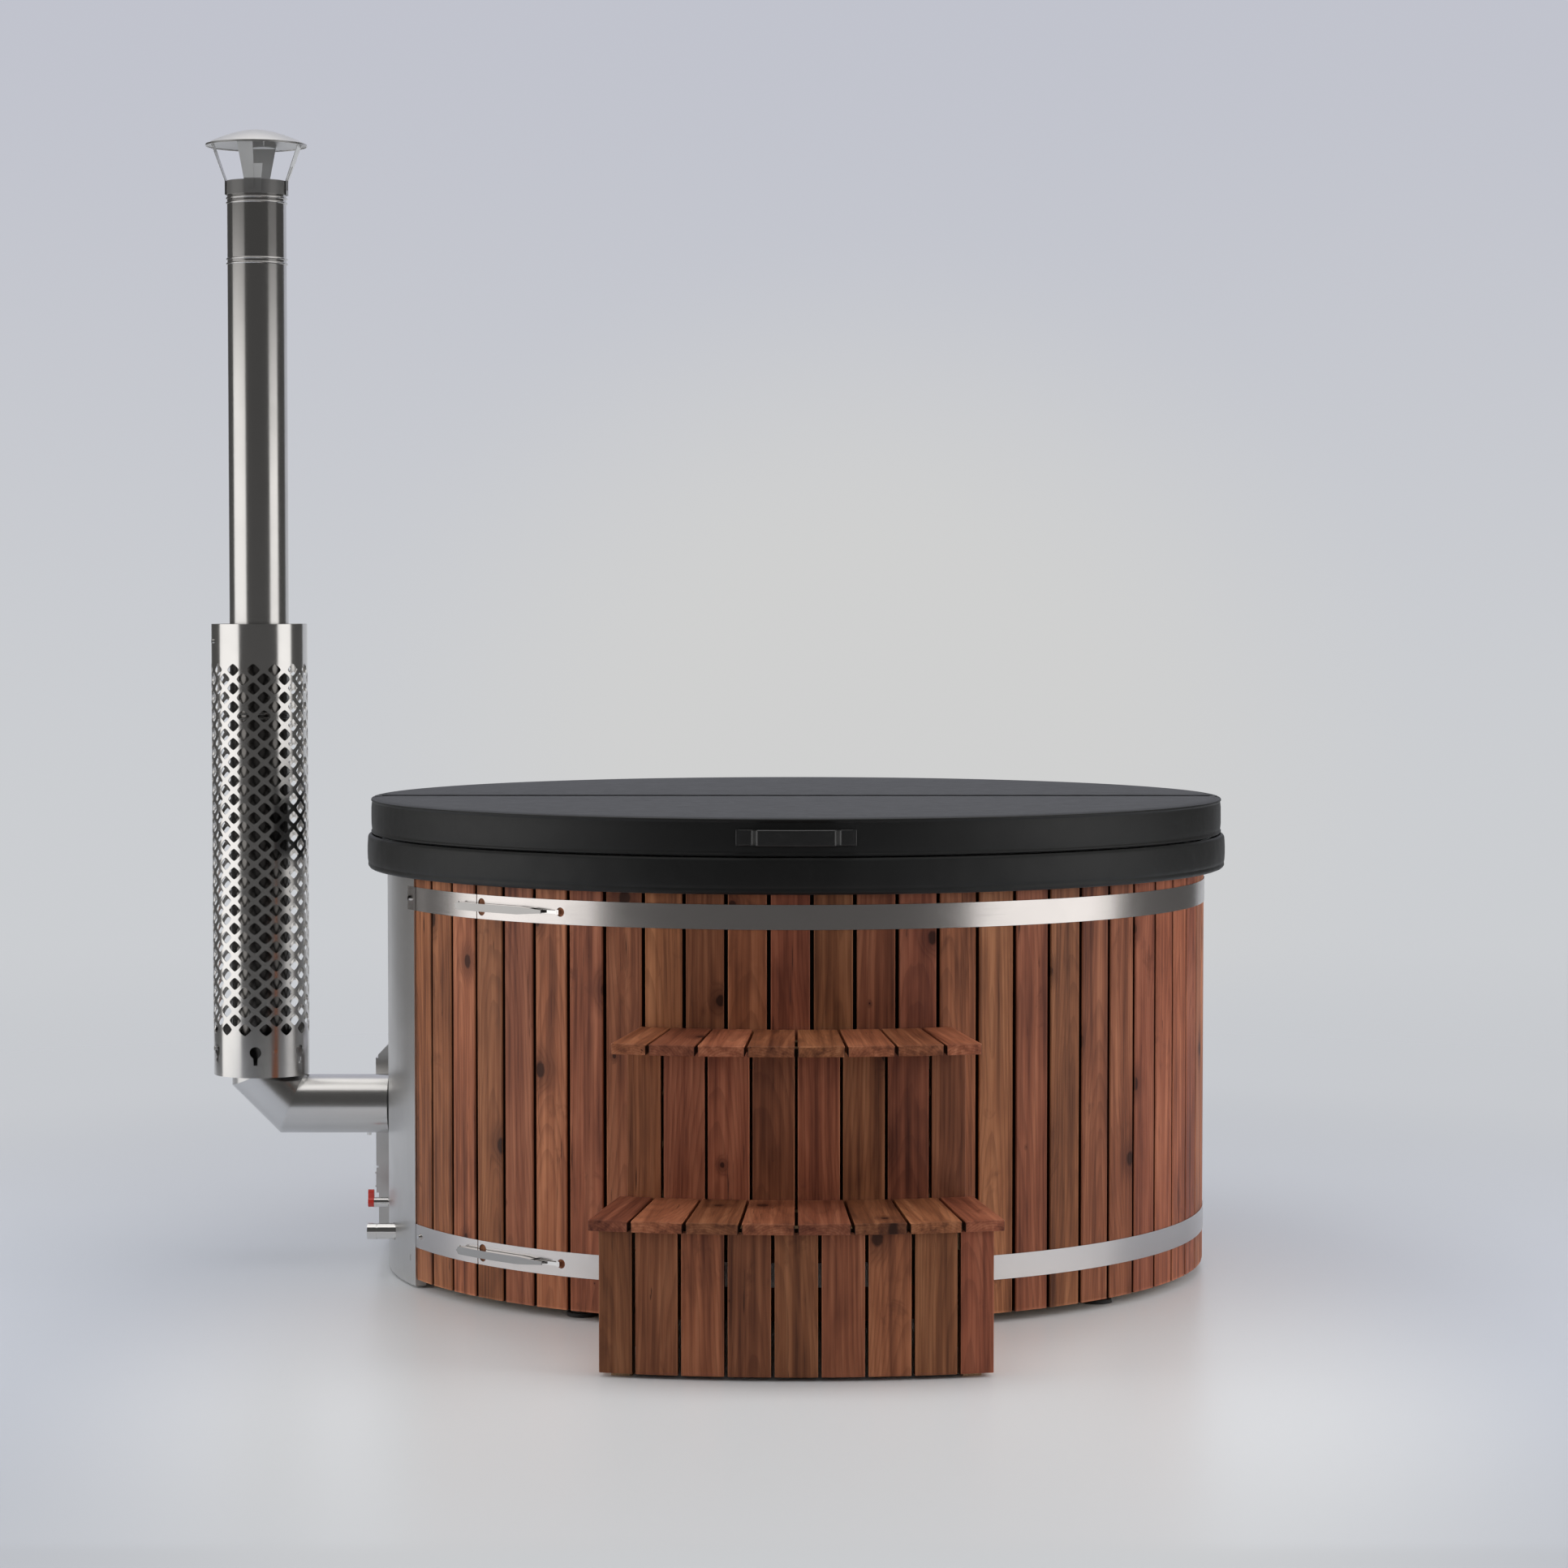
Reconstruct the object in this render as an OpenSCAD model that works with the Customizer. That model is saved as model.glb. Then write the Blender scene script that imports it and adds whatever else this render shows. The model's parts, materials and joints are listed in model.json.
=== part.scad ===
// Round wooden hot tub with an inside stove, a chimney, a folding cover and steps
// The tub's axis is the Z axis and the floor is z = 0. The front is -Y and the stove is on the -X side.
// Angles around the tub are counted from the front, towards +X.

/* [Tub] */
// Radius over the outer corners of the staves
tub_r = 900; // [800:10:1000]
// Height of the rim above the floor
rim_z = 950; // [900:10:1050]
// Height of the staves' lower ends above the floor
stave_bottom = 20; // [12:1:22]
// Number of staves
stave_count = 56; // [44:1:64]
// Gap between two staves
stave_gap = 8; // [5:0.5:12]
// Thickness of a stave
stave_t = 21; // [18:1:25]
// Eased edge of a stave
stave_ease = 2; // [1:0.5:3]
// Gap between the staves' upper ends and the rim
stave_top_gap = 6; // [3:1:10]
// Angle of the wall that the steel plate covers, in degrees
plate_angle = 52; // [50:1:58]
// Thickness of the steel wall plate
plate_t = 2; // [1:0.5:3]
// Height of the wall plate's lower edge above the floor
plate_bottom = 5; // [4:1:12]

/* [Base and wall frame] */
// Number of feet round the edge
foot_count = 9; // [6:1:12]
// Diameter of a foot
foot_d = 64; // [50:1:80]
// Height of a foot
foot_h = 24; // [23:1:32]
// Distance from the staves' outer face in to the axis of a foot
foot_inset = 62; // [55:1:75]
// Height of the base joists and of the lower frame ring
joist_h = 40; // [30:1:42]
// Width of a base joist
joist_w = 70; // [50:1:100]
// Distance between two base joists
joist_spacing = 400; // [300:10:450]
// Width of the lower frame ring
lower_ring_w = 80; // [60:1:90]
// Thickness of the floor panel
panel_t = 18; // [12:1:20]
// Thickness of the upper frame ring
upper_ring_t = 27; // [18:1:36]
// Number of stud places round the wall
stud_count = 12; // [12:4:12]
// Width of a stud
stud_w = 45; // [35:1:60]
// Thickness of the black membrane behind the staves
membrane_t = 3; // [1.5:0.5:4]
// Thickness of the heat board behind the wall plate
board_t = 19; // [12:1:20]

/* [Inner shell] */
// Distance from the staves' outer corners in to the basin's wall
basin_inset = 106; // [100:2:140]
// Wall of the moulded shell
shell_t = 6; // [4:0.5:8]
// Space under the shell's floor
floor_gap = 30; // [29:1:36]
// Height of the bench above the basin's floor
seat_h = 338; // [300:5:400]
// Width of the bench, from the basin's wall to the foot well
bench_w = 274; // [234:2:314]
// Space between the firebox and the edge of the stove bay
bay_room = 55; // [45:1:70]
// How far the rim stands out over the staves
rim_reach = 15; // [12:1:18]
// Height of the rim's outer lip
rim_lip_h = 35; // [25:1:40]
// Thickness of a bench support
support_t = 18; // [12:1:25]
// Number of bench supports
support_count = 7; // [5:1:9]

/* [Bands] */
// Height of a band
band_h = 50; // [44:1:60]
// Thickness of a band
band_t = 1.5; // [1:0.1:2]
// Distance from the rim down to the middle of the upper band
upper_band_drop = 117; // [112:1:140]
// Height of the lower band's middle above the floor
lower_band_z = 114; // [100:1:150]
// Angle of the joint between a band's short and long piece
band_joint_a = -47.1; // [-48:0.1:-47]
// Width of the slot in the long piece, under the lever
band_slot_w = 22; // [16:1:24]
// Height of that slot
band_slot_h = 36; // [26:1:38]
// Diameter of a band bolt's shank
bolt_d = 6; // [4:0.5:8]

/* [Latches] */
// Height of the latch lever
lever_h = 16; // [15:0.5:20]
// Depth of the latch lever, out from the tub
lever_depth = 15; // [14:0.5:18]
// Thickness of the lever's sheet
lever_t = 2.4; // [2:0.1:2.6]
// Angle of the lever's pivot round the tub
lever_pivot_a = -50.2; // [-51:0.1:-50]
// Angle of the draw hook's pivot
hook_pivot_a = -46.6; // [-46.8:0.1:-46]
// Angle of the lever's free end
lever_end_a = -34.4; // [-35:0.1:-34]
// Angle of the hook's hole in the band
hook_hole_a = -32.1; // [-32.4:0.1:-31.5]
// Diameter of the hook's hole in the band
hook_hole_d = 19; // [17:0.5:22]
// Diameter of the lever's pivot pin
pivot_d = 5; // [4:0.5:5]

/* [Cover] */
// How far the cover's upper pad stands out past the staves' corners
pad_reach = 37.5; // [30:0.5:50]
// Height of the cover's upper pad
pad_h = 79; // [60:1:100]
// Thickness of the jacket
jacket_t = 3; // [2:0.5:4]
// Height of the skirt
skirt_h = 74; // [60:1:80]
// Thickness of the skirt at its fattest
skirt_t = 16; // [12:1:18]
// How far the skirt's fattest part stands out past the pad
skirt_bulge = 8; // [6:1:10]
// Gap between the two halves at the fold
fold_gap = 1; // [0.6:0.2:3]
// Width of a hinge flap on each half
flap_w = 30; // [20:1:40]
// Thickness of a hinge flap
flap_t = 1.2; // [0.8:0.1:1.4]
// Width of the strap handle's grip
grip_w = 171; // [120:1:200]
// Height of the strap handle
grip_h = 34; // [25:1:40]
// Finger room behind the strap handle
grip_room = 18; // [14:1:26]
// Thickness of the strap handle
grip_t = 5; // [3:0.5:6]
// Width of the handle's tab on each side
tab_w = 29; // [20:1:40]

/* [Steps] */
// Height of the lower tread's top
lower_step_z = 300; // [280:5:320]
// Height of the upper tread's top
upper_step_z = 609; // [580:1:640]
// Thickness of a tread board
tread_t = 21; // [18:1:26]
// How far the lower tread stands out over its risers
lower_overhang = 15; // [10:1:40]
// How far the upper tread stands out over its risers
upper_overhang = 84; // [60:2:100]
// Distance from the upper risers' face to the lower risers' face
lower_run = 290; // [250:2:295]
// Distance from the staves' outer corners to the upper risers' face
upper_run = 230; // [210:2:250]
// Thickness of the riser and side boards
riser_t = 20; // [16:1:24]
// Gap between two step boards
step_gap = 6; // [4:0.5:8]
// Distance behind the tub's axis of the point that the step boards run to
step_focus = 1200; // [1100:20:1400]
// Half the angle of a tread about that point, in degrees
tread_half_a = 8.65; // [8.4:0.05:9]
// Half the angle of a riser about that point, in degrees
riser_half_a = 8.26; // [8:0.02:8.38]
// Gap between the steps and the tub
step_clear = 6; // [4:1:12]
// Gap under the riser boards
riser_bottom = 8; // [4:1:12]
// Width of the steps' posts and rails
post_w = 40; // [30:1:45]
// Number of side boards under each tread
side_board_count = 3; // [2:1:4]

/* [Stove] */
// Length of the firebox
fire_l = 260; // [220:5:270]
// Distance from the staves' outer corners in to the firebox
fire_inset = 200; // [190:2:230]
// Width of the firebox
fire_w = 460; // [420:5:470]
// Y of the firebox's front side
fire_y = -130; // [-140:5:-120]
// Height of the firebox
fire_h = 470; // [440:5:500]
// Height of the firebox's legs
fire_leg = 12; // [8:1:14]
// Plate of the firebox
fire_t = 4; // [3:0.5:4]
// Width of the stove's door neck
neck_w = 220; // [200:2:224]
// Y of the neck's near side
neck_y = 100; // [96:1:104]
// Height of the stove's door neck
neck_h = 310; // [300:2:316]
// Inside height of the ash drawer's channel
ash_h = 52; // [46:1:56]
// Thickness of the grate
grate_t = 12; // [8:1:16]
// Width of a gap in the grate
grate_gap = 9; // [6:0.5:10]
// Number of gaps in the grate
grate_count = 10; // [6:1:11]
// How far the door box stands out past the staves' corners
box_reach = 39; // [36:1:48]
// Sheet of the door box
box_t = 3; // [2:0.5:3]
// Space between the door box's near side and the neck
box_side = 5; // [4:1:8]
// Space between the door box's far side and the neck
box_far_side = 55; // [40:1:60]
// Width of the frame round the door's opening
open_inset = 10; // [9:0.5:12]
// Height of the door box's lower edge
box_bottom = 35; // [25:1:45]
// Rise of the door box's slanted hood
hood = 32; // [20:1:36]
// Thickness of the stove door
door_t = 5.7; // [4:0.1:6]
// Radius of the door hinge's barrel
hinge_r = 4; // [3:0.5:4]
// Number of slats in the fence
slat_count = 18; // [12:1:20]
// Gap between two slats
slat_gap = 14; // [10:1:20]
// Thickness of a slat
slat_t = 16; // [12:1:18]
// Distance from the rim down to the fence's top
fence_drop = 132; // [100:2:220]

/* [Chimney] */
// Outer diameter of the flue
flue_d = 130; // [120:1:134]
// Wall of the flue
flue_t = 1.5; // [1:0.25:2]
// Height of the flue's axis where it leaves the wall
flue_z = 347; // [340:1:350]
// Distance from the staves' outer corners out to the elbow's first turn
turn_reach = 219; // [160:5:280]
// Length of the elbow's slanted middle
turn_l = 98; // [90:1:120]
// Length of the lower chimney pipe above the elbow
lower_pipe_l = 730; // [600:5:820]
// Length of the upper chimney pipe
upper_pipe_l = 1000; // [900:5:1040]
// Length of the short top pipe
top_pipe_l = 175; // [169:1:184]
// Height of the rain cone's rim above the top pipe
cone_rise = 78.7; // [60:0.1:90]
// Height of the rain cone, from its rim to its tip
cone_h = 35; // [25:1:55]
// Diameter of the rain cone
cone_d = 222; // [200:2:240]
// Outer diameter of the heat guard
guard_d = 211; // [190:1:230]
// Wall of the heat guard
guard_t = 1.5; // [1:0.25:2]
// How far the heat guard reaches down past the elbow's end
guard_sink = 66.3; // [51:0.1:69]
// Length of the guard
guard_l = 998; // [800:2:1100]

/* [Drain] */
// Height of the drain's axis
drain_z = 97; // [97:0.5:97.5]
// Y of the drain's axis
drain_y = -230; // [-260:5:-200]
// Outer diameter of the drain pipe
drain_d = 28; // [26:1:29]
// Outer diameter of the drain outlet
outlet_d = 35; // [34:0.5:38]
// How far the outlet stands out past the staves' corners
outlet_reach = 30; // [20:1:50]
// Distance from the tub's axis to the floor drain
waste_x = 100; // [60:5:160]
// Diameter of the strainer
strainer_d = 84; // [70:2:100]
// Height of the valve's axis
valve_z = 138; // [137:0.5:142]
// Y of the valve's axis
valve_y = -80; // [-100:2:-76]
// Diameter of the valve's body
valve_d = 22; // [20:0.5:24]
// How far the valve lever stands out past the staves' corners
valve_reach = 44; // [38:1:50]
// Thickness of the valve's lever
valve_lever_t = 13; // [8:0.5:14]
// Length of the valve's lever, from its axis
valve_lever_l = 28; // [20:0.5:34]
// Width of the valve's lever
valve_lever_w = 12; // [9:0.5:16]

/* [Hidden] */
$fn = 96;
// Facets of a circle that is as wide as the tub, and of a rounded edge
wide_fn = 360;
round_fn = 48;

// Colours
stained_wood = [0.47, 0.28, 0.19];
plain_wood = [0.72, 0.57, 0.4];
plywood = [0.78, 0.66, 0.48];
steel = [0.72, 0.73, 0.74];
dark_steel = [0.25, 0.25, 0.26];
leatherette = [0.13, 0.13, 0.13];
rubber_black = [0.08, 0.08, 0.08];
foam = [0.9, 0.88, 0.8];
shell_grey = [0.86, 0.87, 0.88];
lever_red = [0.75, 0.12, 0.1];

// Cuts run past a surface by this much
cut = 10;
// Clearance between pieces that are assembled with each other
fit = 0.3;
// Clearance all round a pin or stem that turns in its hole
run_gap = 0.06;

// Wall build-up, from the staves inwards
stave_pitch = (360 - plate_angle) / stave_count;
stave_w = 2 * tub_r * sin(stave_pitch / 2) - stave_gap;
stave_face = sqrt(pow(tub_r, 2) - pow(stave_w / 2 - stave_ease, 2));
stave_in = stave_face - stave_t;
stave_top = rim_z - shell_t - stave_top_gap;
membrane_out = stave_in - fit;
membrane_in = membrane_out - membrane_t;
basin_r = tub_r - basin_inset;
well_r = basin_r - bench_w;
shell_out = basin_r + shell_t;
wall_in = shell_out + 2 * fit;
wall_out = membrane_in - fit;
first_a = -90 + plate_angle / 2;
last_a = 270 - plate_angle / 2;

// Heights of the base and of the basin
ring_top = foot_h + joist_h;
panel_top = ring_top + panel_t;
basin_floor = panel_top + floor_gap + shell_t;
seat_z = basin_floor + seat_h;
ring_in = wall_out - lower_ring_w;
flange_under = rim_z - shell_t;
upper_ring_z = flange_under - upper_ring_t;
rim_out = tub_r + rim_reach;
rim_edge = shell_t;
stud_pitch = 360 / stud_count;
stud_half_a = asin(stud_w / 2 / wall_in);
foot_start_a = -31.5;
bench_first_a = -10;
bench_span_a = 200;
foot_neck_share = 0.7;
foot_pad_share = 0.35;

// Wall plate and heat board
plate_out = tub_r + plate_t;
board_out = tub_r - fit;
board_in = board_out - board_t;
board_edge_a = 1.6;
vent_slot_a = 2;
vent_slot_z = 55;
vent_slot_w = 3;
vent_slot_h = 14;

// Bands and bolts
band_in = tub_r + fit / 2;
band_out = band_in + band_t;
band_mids = [rim_z - upper_band_drop, lower_band_z];
lap_in = plate_out + fit;
lap_out = lap_in + band_t;
lap_a = 2.2;
lap_step_a = 0.5;
upper_bolt_a = 1.2;
lower_bolt_a = 1.6;
band_edge_a = 0.1;
bolt_head_r = bolt_d * 1.1;
bolt_head_h = bolt_d * 0.8;
bolt_l = bolt_d * 1.8;
slot_a = band_joint_a + asin(band_slot_w / 2 / tub_r) + 0.3;
joint_split_a = 0.08;

// Latches: radii from the tub's axis
lever_in = band_out + 2 * band_t;
lever_out = lever_in + lever_depth;
lever_pivot_r = (lever_in + lever_out) / 2;
hook_t = 3;
hook_h = 7;
hook_tip_h = 10;
hook_pivot_r = lever_pivot_r - lever_t;
hook_pin_d = 3.6;
hook_eye_r = 4.4;
hook_in = hook_pivot_r - hook_t - hook_t / 4;
lug_r = 4.6;
lug_t = 2.6;
lug_gap = 0.4;
base_t = 1.2;
lever_mid_a = (lever_pivot_a + lever_end_a) / 2;
lever_taper_a = -38.4;
lever_taper_share = 0.087;
lever_web_back = 5;
lever_slack = 1;

// Cover
pad_r = tub_r + pad_reach;
pad_lift = 5;
pad_bottom = rim_z + pad_lift;
pad_top = pad_bottom + pad_h;
pad_round = 9;
core_bottom = rim_z + fit;
core_r = pad_r - jacket_t - fit;
skirt_top = pad_bottom - fit;
skirt_mid_r = pad_r + skirt_bulge - skirt_t / 2;
skirt_in = skirt_mid_r - skirt_t / 2;
core_step_r = skirt_in - fit;
half_gap = fold_gap / 2;
flap_l = pad_r - 2 * pad_round;
grip_in = pad_r + grip_room;
grip_out = grip_in + grip_t;
grip_z = pad_bottom + (pad_h - grip_h) / 2;
grip_half_a = asin(grip_w / 2 / grip_in);
tab_out_a = asin((grip_w / 2 + tab_w) / pad_r);

// Steps
back_r = tub_r + step_clear;
upper_riser_r = tub_r + upper_run;
upper_tread_r = upper_riser_r + upper_overhang;
lower_riser_r = upper_riser_r + lower_run;
lower_tread_r = lower_riser_r + lower_overhang;
tread_count = 8;
lower_riser_count = 9;
upper_riser_count = 8;
lower_tread_under = lower_step_z - tread_t;
upper_tread_under = upper_step_z - tread_t;
step_far = lower_tread_r + step_focus + cut;

// Stove
fire_far = tub_r - fire_inset;
fire_x = fire_far - fire_l;
bay_x = fire_x - bay_room;
box_x = tub_r + box_reach;
fire_leg_w = 24;
fire_bottom = basin_floor + fire_leg;
fire_top = fire_bottom + fire_h;
neck_top = fire_bottom + neck_h;
neck_far = neck_y + neck_w;
ash_floor = fire_bottom + fire_t;
shelf_z = ash_floor + ash_h;
grate_z = shelf_z + fire_t;
box_y0 = neck_y - box_side;
box_y1 = neck_far + box_far_side;
box_top = neck_top + box_side;
front_back_x = box_x - box_t;
door_x = box_x + fit;
door_out = door_x + door_t;
door_y0 = neck_y + hinge_r;
door_y1 = neck_far;
open_y0 = neck_y + open_inset;
open_y1 = neck_far - open_inset;
open_z0 = grate_z + open_inset;
open_z1 = neck_top - open_inset;
door_over = 7;
door_z0 = open_z0 - door_over;
door_z1 = open_z1 + door_over;
gasket_w = 8;
gasket_t = 8;
gasket_gap = 1.2;
hinge_x = door_out;
hinge_y = door_y0 - hinge_r - fit;
hinge_pin_r = hinge_r / 2;
knuckle_h = 30;
knuckle_inset = 12;
handle_inset = 24;
handle_y = door_y1 - handle_inset;
handle_l = 110;
handle_room = 13;
handle_r = 5;
drawer_front_h = ash_h + fire_t;
drawer_gap = 3;
drawer_t = 2;
drawer_back_room = 24;
drawer_back = fire_x + fire_t + drawer_back_room;
slide_t = 2;
slide_h = 28;
slide_l = 140;
slide_inset = 12;
slide_y = neck_y + slide_inset;
slide_slots = 5;
slide_pitch = slide_l / (slide_slots + 1);
slide_slot_w = slide_pitch * 0.4;
slide_travel = slide_pitch / 2;
slide_knob_d = 12;
slide_knob_l = 9;
drawer_knob_d = 16;
drawer_knob_l = 14;

// Fence
fence_x = bay_x + fit;
fence_side_gap = 28;
fence_half = sqrt(pow(basin_r, 2) - pow(fence_x + 2 * slat_t, 2)) - fence_side_gap;
fence_lift = 10;
fence_h = rim_z - fence_drop - basin_floor - fence_lift;
slat_w = (2 * fence_half + slat_gap) / slat_count - slat_gap;
rail_share = 0.14;
rail_h = 34;

// Chimney
flue_r = flue_d / 2;
turn_x = tub_r + turn_reach;
turn_one = [-turn_x, flue_z];
mitre_a = 22.5;
turn_two = [-turn_x - turn_l * cos(2 * mitre_a), flue_z + turn_l * sin(2 * mitre_a)];
stack_x = turn_two[0];
elbow_end_z = turn_two[1] + flue_r;
mid_joint_z = elbow_end_z + lower_pipe_l;
top_joint_z = mid_joint_z + upper_pipe_l;
pipe_top_z = top_joint_z + top_pipe_l;
cone_rim_z = pipe_top_z + cone_rise;
cone_tip_z = cone_rim_z + cone_h;
guard_z = elbow_end_z - guard_sink;
elbow_gap = 2;
half_space = 6 * flue_r;
socket_l = 45;
bead_r = 2.5;
bead_drop = 6;
bead_rise = 4;
spigot_r = flue_r - flue_t - fit;
spigot_l = 50;
top_bead_drop = 48;
top_bead_z = pipe_top_z - top_bead_drop;
collar_h = 30;
strut_w_low = 38;
strut_w_high = 64;
strut_count = 4;
strut_inset = 16;
strut_slot_w = 24;
strut_slot_h = 46;
strut_edge = 4;
strut_rib_w = 6;
strut_rib_drop = 20;
cone_t = 2;
cone_lip = 2;
cone_rings = 9;
cone_power = 1.7;
guard_r = guard_d / 2;
bracket_w = 12;
bracket_rise = 60;
bracket_drop = 38;
screw_r = 4.5;
screw_h = 2.5;
bracket_a = 24;

// Drain and valve
outlet_x = tub_r + outlet_reach;
valve_x = tub_r + valve_reach;
outlet_r = outlet_d / 2;
outlet_nose_l = 20;
outlet_groove = 2;
outlet_groove_x = outlet_x - outlet_nose_l - outlet_groove;
outlet_sink = 6;
outlet_back = sqrt(pow(tub_r, 2) - pow(drain_y, 2)) - outlet_sink;
outlet_socket = 10;
drain_wall = 2;
waste_r = drain_d / 2 + drain_wall;
strainer_t = 3;
strainer_hole_r = 4;
strainer_ring_share = 0.62;
strainer_holes = 6;
valve_pipe_d = 16;
valve_pipe_in = basin_r - cut;
valve_stem_d = 8;
valve_stem_l = 16;
valve_face = valve_x - valve_lever_t - fit;

// Helpers
module at_polar(r, a, z = 0) {
  rotate([0, 0, a]) translate([0, -r, z]) children();
}

function facets(r) = r > well_r / 2 ? wide_fn : $fn;

module arc(r0, r1, z0, z1, a0, a1) {
  rotate([0, 0, a0 - 90])
    rotate_extrude(angle = a1 - a0, $fn = facets(r1))
      translate([r0, z0])
        square([r1 - r0, z1 - z0]);
}

module tube(r0, r1, z0, z1) {
  difference() {
    translate([0, 0, z0]) cylinder(r = r1, h = z1 - z0, $fn = facets(r1));
    translate([0, 0, z0 - cut]) cylinder(r = r0, h = z1 - z0 + 2 * cut, $fn = facets(r0));
  }
}

module block(x0, x1, y0, y1, z0, z1) {
  translate([x0, y0, z0]) cube([x1 - x0, y1 - y0, z1 - z0]);
}

// A round bar along X, from x0 to x1
module rod_x(x0, x1, y, z, r) {
  translate([x0, y, z]) rotate([0, 90, 0]) cylinder(r = r, h = x1 - x0);
}

// What passes through the wall on the stove's side, each with its clearance, to just inside the basin
function passage_end(y) = -sqrt(pow(basin_r, 2) - pow(y, 2)) + cut;

module wall_passages(clear) {
  rod_x(-tub_r - cut, passage_end(flue_r), 0, flue_z, spigot_r + clear);
  block(-tub_r - cut, passage_end(neck_far), neck_y - clear, neck_far + clear,
    fire_bottom - clear, neck_top + clear);
  rod_x(-tub_r - cut, passage_end(valve_y), valve_y, valve_z, valve_pipe_d / 2 + clear);
  rod_x(-tub_r - cut, passage_end(drain_y), drain_y, drain_z, outlet_r + clear);
}

module bolt_holes() {
  for (side = [0, 1]) {
    edge = side == 0 ? first_a : last_a;
    turn = side == 0 ? 1 : -1;
    at_polar(lap_out + cut, edge - turn * upper_bolt_a, band_mids[0])
      rotate([-90, 0, 0])
        cylinder(d = bolt_d + 2 * fit, h = bolt_l + 3 * cut);
    at_polar(lap_out + cut, edge + turn * lower_bolt_a, band_mids[1])
      rotate([-90, 0, 0])
        cylinder(d = bolt_d + 2 * fit, h = bolt_l + 3 * cut);
  }
}

// Base
module foot() {
  cylinder(d = foot_d, h = foot_h * foot_pad_share);
  cylinder(d = foot_d * foot_neck_share, h = foot_h);
}

module levelling_feet() {
  color(rubber_black) {
    for (k = [0 : foot_count - 1])
      at_polar(tub_r - foot_inset, foot_start_a + k * 360 / foot_count) foot();
    foot();
  }
}

module base_joists() {
  color(plain_wood)
    for (k = [-1 : 1])
      intersection() {
        block(k * joist_spacing - joist_w / 2, k * joist_spacing + joist_w / 2,
          -tub_r, tub_r, foot_h, ring_top);
        cylinder(r = ring_in - fit, h = ring_top + cut, $fn = wide_fn);
      }
}

module frame_rings() {
  color(plywood) {
    tube(ring_in, wall_out, foot_h, ring_top);
    tube(wall_in, wall_out, upper_ring_z, flange_under);
  }
}

module floor_panel() {
  color(plywood) translate([0, 0, ring_top]) cylinder(r = wall_out, h = panel_t, $fn = wide_fn);
}

// Studs stand between the floor panel and the upper ring, but not behind the flue
function is_stud(k) = k != stud_count * 3 / 4;

module frame_studs() {
  color(plain_wood)
    for (k = [0 : stud_count - 1])
      if (is_stud(k))
        intersection() {
          at_polar(0, k * stud_pitch)
            block(-stud_w / 2, stud_w / 2, -tub_r, 0, panel_top, upper_ring_z);
          tube(wall_in, wall_out, panel_top, upper_ring_z);
        }
}

module wall_insulation() {
  for (k = [0 : stud_count - 1])
    if (is_stud(k)) {
      steps = is_stud(k + 1) ? 1 : 2;
      difference() {
        arc(wall_in, wall_out, panel_top, upper_ring_z, k * stud_pitch + stud_half_a,
          (k + steps) * stud_pitch - stud_half_a);
        if (steps == 2) wall_passages(4 * fit);
      }
    }
}

// The plan of the basin's low part: the foot well and the stove bay
module low_plan(grow) {
  circle(r = well_r + grow, $fn = wide_fn);
  intersection() {
    circle(r = basin_r + grow, $fn = wide_fn);
    translate([-2 * tub_r, -tub_r])
      square([2 * tub_r - bay_x + grow, 2 * tub_r]);
  }
}

module floor_insulation() {
  difference() {
    translate([0, 0, panel_top])
      linear_extrude(height = floor_gap)
        low_plan(0);
    rod_x(-tub_r - cut, -waste_x, drain_y, drain_z, drain_d / 2 + fit);
    translate([-waste_x, drain_y, panel_top - cut])
      cylinder(r = waste_r + fit, h = floor_gap + 2 * cut);
  }
}

module insulation() {
  color(foam) {
    wall_insulation();
    floor_insulation();
  }
}

module backing_membrane() {
  color(rubber_black)
    difference() {
      tube(membrane_in, membrane_out, foot_h, stave_top);
      wall_passages(4 * fit);
    }
}

module bench_supports() {
  pitch_a = bench_span_a / (support_count - 1);
  color(plywood)
    for (k = [0 : support_count - 1])
      intersection() {
        at_polar(0, bench_first_a + k * pitch_a)
          block(-support_t / 2, support_t / 2, -shell_out, -well_r - shell_t - fit,
            panel_top, seat_z - shell_t);
        cylinder(r = shell_out, h = rim_z, $fn = wide_fn);
      }
}

// The basin's hollow, grown by the wall for its outside
module basin_hollow(grow, top) {
  translate([0, 0, seat_z - grow])
    cylinder(r = basin_r + grow, h = top - seat_z + grow, $fn = wide_fn);
  translate([0, 0, basin_floor - grow])
    linear_extrude(height = top - basin_floor + grow)
      low_plan(grow);
}

module inner_shell() {
  color(shell_grey)
    difference() {
      union() {
        basin_hollow(shell_t, rim_z);
        translate([0, 0, flange_under]) cylinder(r = rim_out, h = shell_t, $fn = wide_fn);
        tube(rim_out - rim_edge, rim_out, rim_z - rim_lip_h, rim_z);
      }
      basin_hollow(0, rim_z + cut);
      difference() {
        wall_passages(4 * fit);
        translate([0, 0, -cut]) cylinder(r = rim_out, h = basin_floor - shell_t + cut);
      }
      translate([-waste_x, drain_y, 0]) cylinder(r = waste_r + fit, h = basin_floor + cut);
    }
}

// Wood cladding and the steel wall on the stove's side
module stave() {
  half = stave_w / 2;
  linear_extrude(height = stave_top - stave_bottom)
    polygon([[-half + stave_ease, 0], [half - stave_ease, 0], [half, stave_ease],
      [half, stave_t], [-half, stave_t], [-half, stave_ease]]);
}

module wall_staves() {
  color(stained_wood)
    for (k = [0 : stave_count - 1])
      difference() {
        at_polar(stave_face, first_a + (k + 0.5) * stave_pitch, stave_bottom) stave();
        if (k == 0 || k == stave_count - 1) bolt_holes();
      }
}

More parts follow.
